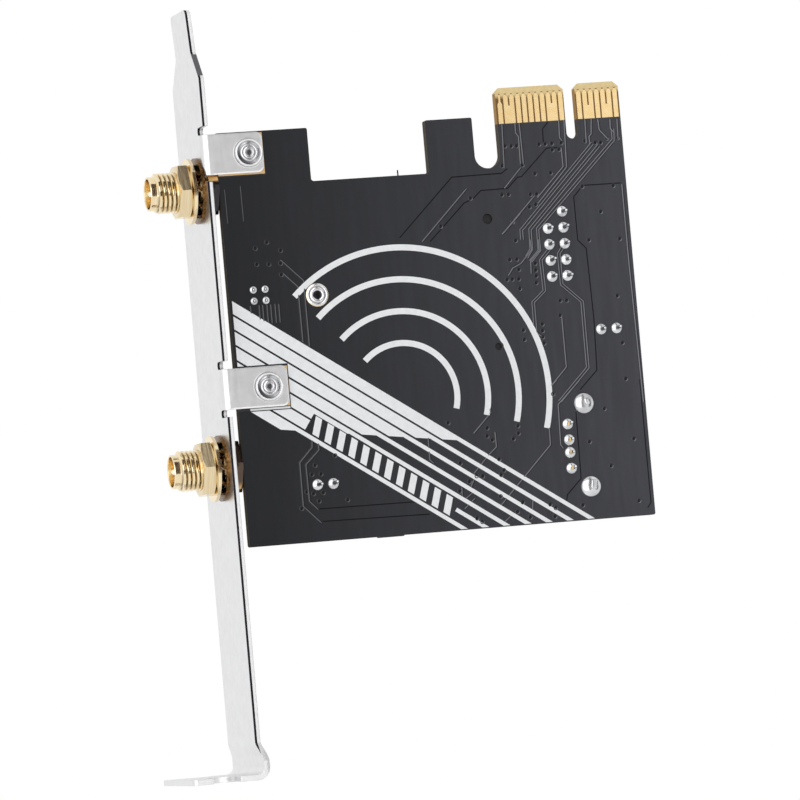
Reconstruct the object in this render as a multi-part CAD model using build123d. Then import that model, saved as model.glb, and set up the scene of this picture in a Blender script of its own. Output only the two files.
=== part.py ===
from build123d import *
from math import cos, pi, radians, sin, tan
import os

# Wireless network card for a PCI Express x1 slot, full height, with two threaded antenna jacks.
# The card stands as it is plugged in: +Z up, the edge contacts point down, +X is towards the bracket,
# and -Y is the solder side. The origin is the middle of the key notch at the contact tips, half way
# through the board. All sizes are millimetres.

# Circuit board outline
board_thickness = 1.57
board_height = 68.90
board_front = 57.80            # edge beside the bracket
long_contact_edge = 12.15      # end of the long row of contacts
short_contact_edge = 8.15      # end of the short row, which is also the tail edge of the board
key_width = 1.90
key_depth = 8.70
latch_slot_width = 4.14
latch_slot_depth = 12.55
hook_tab_width = 7.66
shoulder_height = 4.40         # lower edges outside the contact rows
notch_width = 19.09
notch_depth = 8.37
notch_corner = 0.45
stub_tail = 33.00              # what is left on the top edge of a tab that held the card in its panel
stub_width = 4.00
stub_rise = 0.15
outline_corner = 0.30
tip_corner = 0.80
bevel_height = 0.95
bevel_inset = 0.35

# Copper and print
copper_height = 0.05
print_height = 0.03
contact_pitch = 1.00
contact_width = 0.75
contact_first = 1.50
contact_tip = 1.20
contact_root = 5.70
contact_nose = 0.35            # length of the narrowed end of a contact
contact_nose_width = 0.30
long_contact_count = 11
short_contact_count = 7
present_contact_tip = 2.25     # the first contact starts higher than the others
pair_root = (2.90, 3.55)       # where two contacts with one signal run together, long and short row

# Bracket sheet
sheet = 0.86
bracket_gap = 1.68             # between the board's edge and the plate
bracket_near = -3.70           # solder-side edge
bracket_width = 18.42
bracket_length = 120.02        # tongue tip to top of the foot
tongue_tip = -15.30
tongue_width = 10.19
tongue_lean = 3.0              # degrees, outwards
tongue_root = -8.60
taper_top = -4.05
tongue_corner = 1.00
tongue_bend = 20.0
top_shoulder_low = 5.72        # the widening near the foot, measured down from the top of the foot
top_shoulder_high = 2.82
top_extra = 3.17               # the foot is wider than the plate on the solder side
jog_low = 5.32                 # the jog, measured down from the top of the foot
jog_high = 3.62
jog_depth = 0.45
jog_bend = 2.00
foot_length = 11.43
foot_bend = 2.00
foot_corner = 0.80
foot_slot_width = 4.42
foot_slot_centre = 6.05        # from the outer face of the plate
foot_slot_depth = 5.80
foot_relief_radius = 2.60

# Bracket tabs
tab_width = 6.32
tab_low = (4.60, 41.12)
tab_reach = (7.20, 8.05)       # from the board's edge to the ends of the tabs
tab_bend = 1.10
tab_corner = 1.00
relief_width = 1.20
tab_hole_height = (7.80, 44.30)
tab_hole_setback = (4.87, 4.95)
burr_diameter = 4.30
burr_height = 0.50
burr_round = 0.18
pad_margin_end = 0.25
pad_margin_side = 0.12
pad_margin_high = 0.40

# Bracket screws, M3 pan head, put in from the component side
screw_thread = 2.86
screw_clearance = 0.02
screw_length = 3.05
screw_head = 5.50
screw_head_height = 1.90
screw_head_round = 0.70
screw_tip_chamfer = 0.35
board_screw_hole = 3.30
recess_width = 0.65
recess_span = 2.90
recess_depth = 1.10

# Antenna jacks
jack_axis = 2.75               # distance of the axis from the middle of the board
jack_height = (12.92, 56.25)
jack_reach = 8.16              # from the plate to the tip
jack_thread = 6.35
jack_thread_depth = 0.25       # the stretch under the nut is drawn at the middle of the thread
jack_lead = 5.35               # plain end ahead of the thread
jack_lead_length = 0.95
jack_bore = 4.70
jack_bore_depth = 3.60
jack_inner_bore = 3.00
jack_hex = 8.00
jack_flange = 1.50
jack_sleeve = 3.60
jack_sleeve_bore = 2.00
jack_sleeve_length = 6.00
jack_hole_clearance = 0.10
hex_bevel_angle = 30.0         # degrees
nut_thickness = 2.05
nut_clearance = 0.03
washer_diameter = 10.30
washer_bore_clearance = 0.15
flat_washer = 0.50
lock_ring = 0.50
lock_ring_wall = 1.20
lock_tooth_count = 10
lock_tooth_width = 1.30
lock_tooth_sheet = 0.45
lock_tooth_twist = 52.0
core_diameter = 0.95
core_sink = 0.50               # the pin stops this far inside the tip
core_point = 0.45

# Module socket and module
socket_height = 4.20
socket_depth = 7.10
socket_length = 21.90
socket_back = 11.00
socket_middle = 30.57
socket_slot_depth = 4.50
socket_clearance = 0.06
peg_front = 15.10
peg_spacing = 20.14
peg_diameter = (1.55, 1.05)
peg_hole_clearance = 0.05
socket_contact_pitch = 0.50
socket_contact_width = 0.22
socket_contact_count = 33
socket_key_position = 12
socket_key_missing = 4
socket_tail_sheet = 0.15
socket_tail_reach = 1.10
socket_tail_rise = 0.75
module_lift = 2.25
module_thickness = 0.80
module_length = 30.00
module_width = 22.00
module_key_depth = 3.50
module_key_width = 1.20
module_notch = 1.75
module_contact_length = 1.90
module_contact_width = 0.30
module_contact_setback = 0.30
module_contact_height = 0.02
standoff_front = 43.66
standoff_diameter = 5.00
standoff_shank = 3.00
standoff_rivet = 3.55
standoff_rivet_height = 0.22
standoff_bore = 2.00
standoff_lip = 1.24            # the riveted end closes the bore to this
standoff_lip_depth = 0.72
standoff_clearance = 0.05
module_screw_head = 4.60
module_screw_head_height = 0.80
module_screw_shank = 1.92
module_screw_depth = 1.80
module_screw_recess = 0.45
shield_length = 19.60
shield_width = 19.80
shield_height = 1.35
shield_wall = 0.15
shield_setback = 4.90          # from the module's screw
coax_diameter = 1.60
coax_height = 0.80
coax_spacing = 13.20
coax_setback = 2.76            # from the module's screw
coax_base = 2.00
coax_base_height = 0.20
coax_wall = 0.30
coax_pin = 0.30

# Pin headers
pin_size = 0.64
pin_hole = 1.00
pin_above = 8.30
pin_below = 1.20
header_pitch = 2.54
header_base = 2.50
header_bevel = 0.35
usb_header_front = 2.87
usb_header_low = 20.10
usb_header_rows = 5
fan_header_front = -4.42
fan_header_low = 39.09
side_header_front = 43.68
side_header_low = 60.05
service_front = 51.93
service_low = 29.12
service_pitch_x = 1.90
service_pitch_z = 1.74
service_pin = 0.50
service_hole = 0.80
service_base = 1.60
service_above = 4.20

# Plug socket at the tail edge, a type A receptacle lying flat
plug_contact_front = 4.98
plug_middle = 57.11
plug_contact_offsets = (-3.50, -1.00, 1.00, 3.50)
plug_peg_back = 2.93           # shell pegs behind the row of contacts
plug_peg_spacing = 13.14
plug_mouth = -8.20
plug_length = 14.00
plug_width = 13.14
plug_height = 5.72
plug_lift = 0.20
plug_shell = 0.30
plug_shell_round = 0.60
plug_flare = 0.49
plug_tongue = 1.84
plug_tongue_width = 11.10
plug_tongue_length = 8.60
plug_tongue_gap = 2.70         # shell floor to the tongue
plug_contact_width = 1.00
plug_contact_sheet = 0.25
plug_peg_width = 1.80
plug_peg_hole = 2.30
plug_tail = 0.55
plug_floor_gap = 9.20          # opening in the shell's floor over the row of contacts
plug_floor_gap_back = 1.60
plug_flap_width = 8.40

# Solder on the pins
joint_diameter = 1.62
joint_height = 1.30
service_joint = 1.12
peg_joint = 3.20
peg_joint_height = 1.00

# Small surface-mounted pieces: front, height, length and whether they stand along Z
capacitor_size = (1.60, 0.80, 0.80)
resistor_size = (1.60, 0.80, 0.45)
terminal_wrap = 0.30
capacitor_places = ((9.6, 17.0, True), (7.9, 17.0, True), (12.9, 16.6, False), (20.6, 17.4, False),
                    (23.6, 17.4, False), (26.6, 17.4, False), (20.6, 44.6, False), (23.6, 44.6, False),
                    (47.8, 24.0, True), (47.8, 37.0, True), (9.9, 47.4, False), (9.9, 49.6, False))
resistor_places = ((-1.2, 27.0, True), (-3.2, 27.0, True), (-5.2, 27.0, True), (9.0, 25.0, False),
                   (9.0, 27.2, False), (9.0, 33.6, False), (9.0, 36.0, False), (11.9, 52.4, True),
                   (13.9, 52.4, True), (15.9, 52.4, True))
regulator_front = 24.0
regulator_height = 58.0
regulator_body = (6.50, 1.60, 3.50)
regulator_lead_width = 0.74
regulator_lead_pitch = 2.30
regulator_lead_sheet = 0.28
regulator_lead_reach = 1.75
regulator_tab_width = 3.00
choke_size = (5.00, 2.60, 5.00)
choke_front = 34.5
choke_height = 58.0
choke_round = 0.90
choke_foot = 0.25

# Print on the solder side: slanted bands that step down to thin lines
band_angle = 34.5              # degrees below the horizontal, seen from the solder side
band_pitch = 1.965
band_gap = 0.30
band_count = 7
band_line = 0.62
band_start = 30.30             # height of the first band at the bracket edge
band_edge = 0.45               # bare strip along the bracket edge
step_height = 51.05            # where the lowest band steps down
step_front = 51.50
step_rise = 0.133
print_clearance = 0.15
row_band = 5                   # the band that the row of bars interrupts
row_start = 20.45              # along the bands, from the bracket edge
row_margin = 0.45              # bare strip at each end of the row
row_bar_count = 12
row_bar_width = 1.15
row_bar_pitch = 2.20
row_bar_slant = 0.90
row_bar_height = 2.75
row_bar_clearance = 0.14
ripple_front = 31.0
ripple_low = 47.5
ripple_line = 0.95
ripple_radii = (8.5, 13.5, 18.5, 23.5)
ripple_from = 46.0             # degrees below the horizontal
ripple_to = 196.0

# Cutting shapes reach this far past the solid
cut_margin = 5.00

# Values worked out from those above
solder_face = -board_thickness / 2
component_face = board_thickness / 2
board_tail = -short_contact_edge
bracket_inner = board_front + bracket_gap
bracket_outer = bracket_inner + sheet
jack_tip = bracket_outer + jack_reach
bracket_far = bracket_near + bracket_width
bracket_middle = bracket_near + bracket_width / 2
top_near = bracket_near - top_extra
foot_top = tongue_tip + bracket_length
top_outer = bracket_outer - jog_depth
tab_inner = solder_face - copper_height
tab_outer = tab_inner - sheet
tab_tangent = tab_outer + tab_bend
hex_radius = jack_hex / 2 / cos(radians(30))
flange_back = bracket_inner - jack_flange
lock_tooth_rise = lock_tooth_width * sin(radians(lock_tooth_twist))
lock_stack = lock_tooth_rise + lock_tooth_sheet * cos(radians(lock_tooth_twist))
flat_washer_back = bracket_outer + lock_stack
nut_back = flat_washer_back + flat_washer
module_back = component_face + module_lift
module_face = module_back + module_thickness
module_tail = standoff_front - module_length
plug_floor = component_face + plug_lift
plug_low = plug_middle - plug_width / 2
tab_end = tuple(board_front - reach for reach in tab_reach)
tab_screws = tuple((board_front - back, height) for back, height in zip(tab_hole_setback, tab_hole_height))


def upright(outline, back, front):
    """A flat outline drawn in X and Z, given thickness from back to front along Y."""
    plane = Plane(origin=(0, back, 0), x_dir=(1, 0, 0), z_dir=(0, -1, 0))
    return extrude(plane * outline, amount=front - back, dir=(0, 1, 0))


def polygon(*points):
    """A closed outline. Points that repeat the one before are dropped."""
    kept = [point for index, point in enumerate(points) if point != points[index - 1]]
    return make_face(Polyline(*kept, close=True))


def block(x, y, z):
    """A box given by its (low, high) span along each axis."""
    size = [pair[1] - pair[0] for pair in (x, y, z)]
    middle = [(pair[0] + pair[1]) / 2 for pair in (x, y, z)]
    return Pos(*middle) * Box(*size)


def turned_along_y(profile, x, z):
    """A profile of (y, radius) points turned about a line along Y."""
    outline = polygon(*[(radius, y) for y, radius in profile])
    return Pos(x, 0, z) * revolve(outline, Axis.Y)


def turned_along_x(profile, z):
    """A profile of (x, radius) points turned about a jack's axis."""
    return Pos(0, jack_axis, z) * revolve(polygon(*profile), Axis.X)


def hole(x, z, diameter):
    reach = board_thickness
    return upright(Pos(x, z) * Circle(diameter / 2), -reach, reach)


def header_pin_places():
    """(x, z) of each 0.1 inch header pin. The nine-pin header has one corner without a pin."""
    nine = [(usb_header_front + column * header_pitch, usb_header_low + row * header_pitch)
            for column in range(2) for row in range(usb_header_rows)]
    nine.remove((usb_header_front + header_pitch, usb_header_low))
    fan = [(fan_header_front + column * header_pitch, fan_header_low) for column in range(2)]
    side = [(side_header_front + column * header_pitch, side_header_low) for column in range(2)]
    return nine, fan + side


def service_pin_places():
    return [(service_front + column * service_pitch_x, service_low + row * service_pitch_z)
            for column in range(2) for row in range(2)]


def plug_contact_places():
    return [(plug_contact_front, plug_middle + offset) for offset in plug_contact_offsets]


def plug_peg_places():
    front = plug_contact_front - plug_peg_back
    return [(front, plug_middle + side * plug_peg_spacing / 2) for side in (-1, 1)]


def socket_peg_places():
    return [(peg_front, socket_middle - peg_spacing / 2), (peg_front, socket_middle + peg_spacing / 2)]


def board_outline():
    """The card outline: contact rows, key, latch slot, hook tab, notch and shoulder."""
    hook_tail = long_contact_edge + latch_slot_width
    hook_front = hook_tail + hook_tab_width
    notch_front = hook_front + notch_width
    notch_top = shoulder_height + notch_depth
    body = polygon((board_tail, 0), (long_contact_edge, 0), (long_contact_edge, shoulder_height),
                   (board_front, shoulder_height), (board_front, board_height), (board_tail, board_height))
    tips = body.vertices().filter_by_position(Axis.Y, -0.01, 0.01)
    body = chamfer(tips, tip_corner)
    key = Pos(0, key_depth - key_width / 2) * Circle(key_width / 2)
    key += Pos(0, (key_depth - key_width) / 2) * Rectangle(key_width, key_depth)
    slot_middle = long_contact_edge + latch_slot_width / 2
    slot_round = latch_slot_depth - latch_slot_width / 2
    slot = Pos(slot_middle, slot_round) * Circle(latch_slot_width / 2)
    slot += Pos(slot_middle, slot_round / 2) * Rectangle(latch_slot_width, slot_round)
    notch = polygon((hook_front, shoulder_height), (notch_front, shoulder_height),
                    (notch_front, notch_top), (hook_front, notch_top))
    notch = fillet(notch.vertices().group_by(Axis.Y)[-1], notch_corner)
    outline = body - key - slot - notch
    key_tips = [v for v in outline.vertices() if abs(abs(v.X) - key_width / 2) < 0.01 and abs(v.Y) < 0.01]
    outline = chamfer(key_tips, tip_corner)
    square = [v for v in outline.vertices() if abs(v.Y - board_height) < 0.01
              or (abs(v.Y - shoulder_height) < 0.01 and v.X > hook_tail - 0.01)]
    stub = polygon((stub_tail, board_height - stub_rise), (stub_tail + stub_width, board_height - stub_rise),
                   (stub_tail + stub_width, board_height + stub_rise), (stub_tail, board_height + stub_rise))
    return fillet(square, outline_corner) + stub


def bevel_wedge(side):
    """The material taken off one face at the contact tips."""
    face = side * board_thickness / 2
    inner = face - side * bevel_inset
    outside = face + side * cut_margin
    section = make_face(Polyline((0, face, bevel_height), (0, inner, 0), (0, inner, -cut_margin),
                                 (0, outside, -cut_margin), (0, outside, bevel_height), close=True))
    width = long_contact_edge + short_contact_edge + 2 * cut_margin
    return extrude(Pos(board_tail - cut_margin, 0, 0) * section, amount=width, dir=(1, 0, 0))


def circuit_board():
    board = upright(board_outline(), solder_face, component_face)
    board -= bevel_wedge(1) + bevel_wedge(-1)
    nine, pairs = header_pin_places()
    holes = [hole(x, z, board_screw_hole) for x, z in tab_screws]
    holes += [hole(x, z, pin_hole) for x, z in nine + pairs + plug_contact_places()]
    holes += [hole(x, z, service_hole) for x, z in service_pin_places()]
    holes += [hole(x, z, plug_peg_hole) for x, z in plug_peg_places()]
    holes += [hole(x, z, size + 2 * peg_hole_clearance)
              for (x, z), size in zip(socket_peg_places(), peg_diameter)]
    holes.append(hole(standoff_front, socket_middle, standoff_shank + 2 * standoff_clearance))
    return board - holes


def contact_strip(x, tip):
    """One edge contact: a strip with a narrowed nose, which reaches the tip line as a thin lead."""
    half, nose = contact_width / 2, contact_nose_width / 2
    strip = polygon((x - half, contact_root), (x - half, tip + contact_nose), (x - nose, tip),
                    (x + nose, tip), (x + half, tip + contact_nose), (x + half, contact_root))
    if tip > contact_tip:
        strip += polygon((x - nose, tip + 0.1), (x - nose, contact_tip), (x + nose, contact_tip),
                         (x + nose, tip + 0.1))
    return strip


def edge_contacts(back, front, pairs):
    """The two rows of contacts on one face. pairs are (row sign, index) of joined neighbours."""
    outline = Sketch()
    rows = ((1, long_contact_count), (-1, short_contact_count))
    for sign, count in rows:
        for index in range(count):
            first = sign > 0 and index == count - 1
            tip = present_contact_tip if first else contact_tip
            outline += contact_strip(sign * (contact_first + index * contact_pitch), tip)
    for sign, index in pairs:
        middle = sign * (contact_first + (index + 0.5) * contact_pitch)
        low = pair_root[0] if sign > 0 else pair_root[1]
        outline += Pos(middle, (low + contact_root) / 2) * Rectangle(contact_pitch, contact_root - low)
    return upright(outline, back, front)


def ground_pads():
    """Bare plated areas under the two tabs, round the screw holes."""
    pads = Part()
    for low, end, (x, z) in zip(tab_low, tab_end, tab_screws):
        bottom = max(low - pad_margin_side, shoulder_height + 0.05)
        top = low + tab_width + pad_margin_high
        pad = polygon((end - pad_margin_end, bottom), (board_front, bottom),
                      (board_front, top), (end - pad_margin_end, top))
        pads += upright(pad - Pos(x, z) * Circle(board_screw_hole / 2), tab_inner, solder_face)
    return pads


def bracket_side_profile():
    """The sheet seen from the side: leaning tongue, straight plate, small jog and folded foot."""
    lean = (tongue_root - tongue_tip) * tan(radians(tongue_lean))
    return FilletPolyline((bracket_outer + lean, tongue_tip), (bracket_outer, tongue_root),
                          (bracket_outer, foot_top - jog_low), (top_outer, foot_top - jog_high),
                          (top_outer, foot_top - sheet), (top_outer + foot_length, foot_top - sheet),
                          radius=(tongue_bend, jog_bend, jog_bend, foot_bend - sheet))


def bracket_plate():
    side = bracket_side_profile()
    outer = offset(side, amount=sheet, side=Side.LEFT)
    if outer.bounding_box().max.Y < foot_top - sheet / 2:
        outer = offset(side, amount=sheet, side=Side.RIGHT)
    section = make_face(outer)
    plane = Plane(origin=(0, top_near, 0), x_dir=(1, 0, 0), z_dir=(0, -1, 0))
    return extrude(plane * section, amount=top_extra + bracket_width, dir=(0, 1, 0))


def bracket_front_outline():
    """The plate seen from the front, drawn in Y and Z."""
    tongue_near = bracket_middle - tongue_width / 2
    tongue_far = bracket_middle + tongue_width / 2
    outline = polygon((tongue_near, tongue_tip), (tongue_far, tongue_tip), (tongue_far, tongue_root),
                      (bracket_far, taper_top), (bracket_far, foot_top), (top_near, foot_top),
                      (top_near, foot_top - top_shoulder_high),
                      (bracket_near, foot_top - top_shoulder_low),
                      (bracket_near, taper_top), (tongue_near, tongue_root))
    tips = outline.vertices().group_by(Axis.Y)[0]
    outline = fillet(tips, tongue_corner)
    for low in tab_low:
        high = low + tab_width
        window = polygon((bracket_near - 1, low - relief_width), (tab_tangent, low - relief_width),
                         (tab_tangent, high + relief_width), (bracket_near - 1, high + relief_width))
        window += Pos(tab_tangent, low - relief_width / 2) * Circle(relief_width / 2)
        window += Pos(tab_tangent, high + relief_width / 2) * Circle(relief_width / 2)
        outline -= window
    for z in jack_height:
        outline -= Pos(jack_axis, z) * Circle(jack_thread / 2 + jack_hole_clearance)
    return outline


def bracket_foot_outline():
    """The foot seen from above, drawn in X and Y, with the plate inside it."""
    end = top_outer + foot_length
    back = bracket_inner - cut_margin
    slot_x = top_outer + foot_slot_centre
    slot_round = top_near + foot_slot_depth - foot_slot_width / 2
    outline = polygon((back, top_near), (end, top_near), (end, bracket_far), (back, bracket_far))
    outline = fillet(outline.vertices().group_by(Axis.X)[-1], foot_corner)
    slot = Pos(slot_x, slot_round) * Circle(foot_slot_width / 2)
    slot += Pos(slot_x, (top_near - 1 + slot_round) / 2) * Rectangle(foot_slot_width,
                                                                     slot_round - top_near + 1)
    relief = Pos(slot_x, bracket_far + foot_relief_radius / 3) * Circle(foot_relief_radius)
    return outline - slot - relief


def bracket_tab(low, end, hole_front, hole_height):
    """A tab folded back from the plate on to the solder side, with a burred screw hole."""
    path = FilletPolyline((bracket_outer, tab_tangent + sheet), (bracket_outer, tab_outer),
                          (end, tab_outer), radius=tab_bend)
    ring = offset(path, amount=sheet, side=Side.LEFT)
    if ring.bounding_box().max.X > bracket_outer + sheet / 2:
        ring = offset(path, amount=sheet, side=Side.RIGHT)
    tab = extrude(Pos(0, 0, low) * make_face(ring), amount=tab_width, dir=(0, 0, 1))
    corners = tab.edges().filter_by(Axis.Y).group_by(Axis.X)[0]
    tab = fillet(corners, tab_corner)
    radius = burr_diameter / 2
    crown = tab_outer - burr_height
    burr = turned_along_y([(tab_outer, 0), (tab_outer, radius), (crown + burr_round, radius),
                           (crown, radius - burr_round), (crown, 0)], hole_front, hole_height)
    thread = screw_thread / 2 + screw_clearance
    bore = turned_along_y([(0, 0), (0, thread), (crown - 1, thread), (crown - 1, 0)],
                          hole_front, hole_height)
    return tab + burr - bore


def bracket():
    """One folded sheet: plate, tongue, foot and two tabs."""
    plate = bracket_plate()
    reach = foot_length + 2 * cut_margin
    front = Plane(origin=(bracket_inner - cut_margin, 0, 0), x_dir=(0, 1, 0), z_dir=(1, 0, 0))
    plate = plate & extrude(front * bracket_front_outline(), amount=reach)
    foot = Plane(origin=(0, 0, tongue_tip - cut_margin), x_dir=(1, 0, 0), z_dir=(0, 0, 1))
    foot_prism = extrude(foot * bracket_foot_outline(), amount=bracket_length + 2 * cut_margin)
    below = block((bracket_inner - cut_margin, bracket_outer + reach),
                  (top_near - cut_margin, bracket_far + cut_margin),
                  (tongue_tip - cut_margin, foot_top - foot_bend))
    plate = plate & (foot_prism + below)
    for low, end, (x, z) in zip(tab_low, tab_end, tab_screws):
        plate += bracket_tab(low, end, x, z)
    return plate


def bracket_screw(x, z):
    """Pan-head screw with a cross recess."""
    seat = component_face
    top = seat + screw_head_height
    shank = screw_thread / 2
    tip = seat - screw_length
    profile = [(tip, 0), (tip, shank - screw_tip_chamfer), (tip + screw_tip_chamfer, shank),
               (seat, shank), (seat, screw_head / 2), (top - screw_head_round, screw_head / 2),
               (top - screw_head_round / 3, screw_head / 2 - screw_head_round / 3),
               (top, screw_head / 2 - screw_head_round), (top, 0)]
    screw = turned_along_y(profile, x, z)
    cross = Rectangle(recess_span, recess_width) + Rectangle(recess_width, recess_span)
    return screw - upright(Pos(x, z) * (Rot(0, 0, 45) * cross), top - recess_depth, top + 1)


def hex_prism(back, front, z, bevel_back, bevel_front):
    """A hexagon with corners towards the two faces of the card and turned bevels at its ends."""
    plane = Plane(origin=(back, jack_axis, z), x_dir=(0, 1, 0), z_dir=(1, 0, 0))
    prism = extrude(plane * RegularPolygon(radius=hex_radius, side_count=6), amount=front - back)
    flat = jack_hex / 2
    rise = (hex_radius - flat) * tan(radians(hex_bevel_angle))
    back_rise = rise if bevel_back else 0
    front_rise = rise if bevel_front else 0
    profile = [(back, 0), (back, flat if bevel_back else hex_radius), (back + back_rise, hex_radius),
               (front - front_rise, hex_radius), (front, flat if bevel_front else hex_radius), (front, 0)]
    return prism & turned_along_x(profile, z)


def jack_body(z):
    """Barrel, hexagon flange and rear sleeve in one turned piece."""
    thread_end = jack_tip - jack_lead_length
    lead, thread = jack_lead / 2, jack_thread / 2
    slope = thread - lead
    held = thread - jack_thread_depth
    nut_front = nut_back + nut_thickness
    barrel = turned_along_x([(bracket_inner - 0.1, 0), (bracket_inner - 0.1, held), (nut_front, held),
                             (nut_front, thread), (thread_end - slope, thread), (thread_end, lead),
                             (jack_tip - 0.12, lead), (jack_tip, lead - 0.12), (jack_tip, 0)], z)
    sleeve_back = flange_back - jack_sleeve_length
    sleeve = turned_along_x([(sleeve_back, 0), (sleeve_back, jack_sleeve / 2),
                             (flange_back + 0.1, jack_sleeve / 2), (flange_back + 0.1, 0)], z)
    body = hex_prism(flange_back, bracket_inner, z, True, False) + barrel + sleeve
    mouth = jack_tip - jack_bore_depth
    bore = turned_along_x([(sleeve_back - 1, 0), (sleeve_back - 1, jack_sleeve_bore / 2),
                           (flange_back, jack_sleeve_bore / 2), (flange_back, jack_inner_bore / 2),
                           (mouth, jack_inner_bore / 2), (mouth, jack_bore / 2),
                           (jack_tip + 1, jack_bore / 2), (jack_tip + 1, 0)], z)
    return body - bore


def jack_insulator(z):
    """Plastic bead that holds the pin in the middle of the barrel."""
    mouth = jack_tip - jack_bore_depth
    outer, inner = jack_inner_bore / 2, core_diameter / 2
    return turned_along_x([(flange_back, inner), (flange_back, outer), (mouth, outer), (mouth, inner)], z)


def jack_core(z):
    """Centre contact, with a pointed tip inside the barrel."""
    radius = core_diameter / 2
    tip = jack_tip - core_sink
    back = flange_back - jack_sleeve_length / 2
    return turned_along_x([(back, 0), (back, radius), (tip - core_point, radius),
                           (tip, radius / 3), (tip, 0)], z)


def jack_nut(z):
    front = nut_back + nut_thickness
    thread = jack_thread / 2 - jack_thread_depth + nut_clearance
    nut = hex_prism(nut_back, front, z, True, True)
    return nut - turned_along_x([(nut_back - 1, 0), (nut_back - 1, thread), (front + 1, thread),
                                 (front + 1, 0)], z)


def jack_flat_washer(z):
    inner = jack_thread / 2 + washer_bore_clearance
    outer = washer_diameter / 2
    front = flat_washer_back + flat_washer
    return turned_along_x([(flat_washer_back, inner), (flat_washer_back, outer), (front, outer),
                           (front, inner)], z)


def jack_lock_washer(z):
    """A flat ring whose inner teeth are twisted out of its plane."""
    outer = washer_diameter / 2
    root = outer - lock_ring_wall
    inner = jack_thread / 2 + washer_bore_clearance
    ring = turned_along_x([(bracket_outer, root), (bracket_outer, outer),
                           (bracket_outer + lock_ring, outer), (bracket_outer + lock_ring, root)], z)
    middle = bracket_outer + lock_stack / 2
    length = root - inner + 0.25
    centre = (root + inner) / 2 + 0.125
    for index in range(lock_tooth_count):
        turn = Rot(index * 360 / lock_tooth_count, 0, 0)
        tooth = Pos(0, centre, 0) * Rot(0, lock_tooth_twist, 0) * Box(lock_tooth_sheet, length,
                                                                       lock_tooth_width)
        ring += Pos(middle, jack_axis, z) * turn * tooth
    return ring


def socket_housing():
    """Low card-edge socket, open towards the bracket, with two locating pegs through the board."""
    front = socket_back + socket_depth
    half = socket_length / 2
    body = block((socket_back, front), (component_face, component_face + socket_height),
                 (socket_middle - half, socket_middle + half))
    top_edges = body.edges().group_by(Axis.Y)[-1]
    body = chamfer(top_edges, 0.3)
    gap = socket_clearance
    half_slot = module_width / 2 - 0.9
    slot = block((front - socket_slot_depth, front + 1), (module_back - gap, module_face + gap),
                 (socket_middle - half_slot, socket_middle + half_slot))
    mouth = block((front - 1.2, front + 1), (module_back - gap - 0.4, component_face + socket_height + 1),
                  (socket_middle - half_slot, socket_middle + half_slot))
    body -= slot + mouth
    for (x, z), size in zip(socket_peg_places(), peg_diameter):
        body += turned_along_y([(component_face + 0.2, 0), (component_face + 0.2, size / 2),
                                (solder_face + 0.5, size / 2), (solder_face + 0.5, 0)], x, z)
    return body


def socket_contact_slots():
    """Heights of the contacts, leaving out the ones that the key takes."""
    start = socket_middle - (socket_contact_count - 1) / 2 * socket_contact_pitch
    missing = range(socket_key_position, socket_key_position + socket_key_missing)
    return [start + index * socket_contact_pitch for index in range(socket_contact_count)
            if index not in missing]


def socket_contacts():
    """Solder tails behind the housing, one for each contact."""
    sheet_height = socket_tail_sheet
    foot_back = socket_back - socket_tail_reach
    rise = component_face + socket_tail_rise
    low = component_face + 0.01
    tails = Part()
    profile = polygon((foot_back, low), (socket_back - 0.45, low), (socket_back - 0.30, rise - sheet_height),
                      (socket_back, rise - sheet_height), (socket_back, rise),
                      (socket_back - 0.42, rise), (socket_back - 0.57, low + sheet_height),
                      (foot_back, low + sheet_height))
    for z in socket_contact_slots():
        tails += extrude(Pos(0, 0, z - socket_contact_width / 2) * profile,
                         amount=socket_contact_width, dir=(0, 0, 1))
    return tails


def standoff():
    """Round nut riveted through the board; its flared end shows on the solder side."""
    body, shank = standoff_diameter / 2, standoff_shank / 2
    rivet = standoff_rivet / 2
    bottom = solder_face - standoff_rivet_height
    bore, lip = standoff_bore / 2, standoff_lip / 2
    lip_top = bottom + standoff_lip_depth
    profile = [(bottom, lip), (bottom, rivet - 0.35), (bottom + 0.1, rivet), (solder_face, rivet),
               (solder_face, shank), (component_face, shank), (component_face, body),
               (module_back, body), (module_back, bore), (lip_top, bore), (lip_top, lip)]
    return turned_along_y(profile, standoff_front, socket_middle)


def module_screw():
    shank, head = module_screw_shank / 2, module_screw_head / 2
    top = module_face + module_screw_head_height
    bottom = module_back - module_screw_depth
    screw = turned_along_y([(bottom, 0), (bottom, shank), (module_face, shank), (module_face, head),
                            (top - 0.25, head), (top, head - 0.3), (top, 0)],
                           standoff_front, socket_middle)
    cross = Rectangle(2.0, module_screw_recess) + Rectangle(module_screw_recess, 2.0)
    cut = upright(Pos(standoff_front, socket_middle) * cross, top - 0.5, top + 1)
    return screw - cut


def module_board():
    """Radio module, 22 by 30, held in the socket at its tail and by a screw in a half-round notch."""
    outline = Pos(module_tail + module_length / 2, socket_middle) * Rectangle(module_length, module_width)
    outline -= Pos(standoff_front, socket_middle) * Circle(module_notch)
    inset = 0.9 + socket_clearance
    edge = module_tail + socket_slot_depth
    for side in (-1, 1):
        corner = socket_middle + side * (module_width / 2 - inset / 2)
        outline -= Pos((module_tail + edge) / 2, corner) * Rectangle(edge - module_tail, inset)
    key_low = socket_contact_slots()[socket_key_position - 1] + socket_contact_pitch
    key = Pos(module_tail, key_low + socket_contact_pitch) * Rectangle(2 * module_key_depth, module_key_width)
    return upright(outline - key, module_back, module_face)


def module_contacts():
    """The module's row of contacts on the face away from the card."""
    middle = module_tail + module_contact_setback + module_contact_length / 2
    strips = Sketch()
    for z in socket_contact_slots():
        strips += Pos(middle, z) * Rectangle(module_contact_length, module_contact_width)
    return upright(strips, module_face, module_face + module_contact_height)


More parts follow.
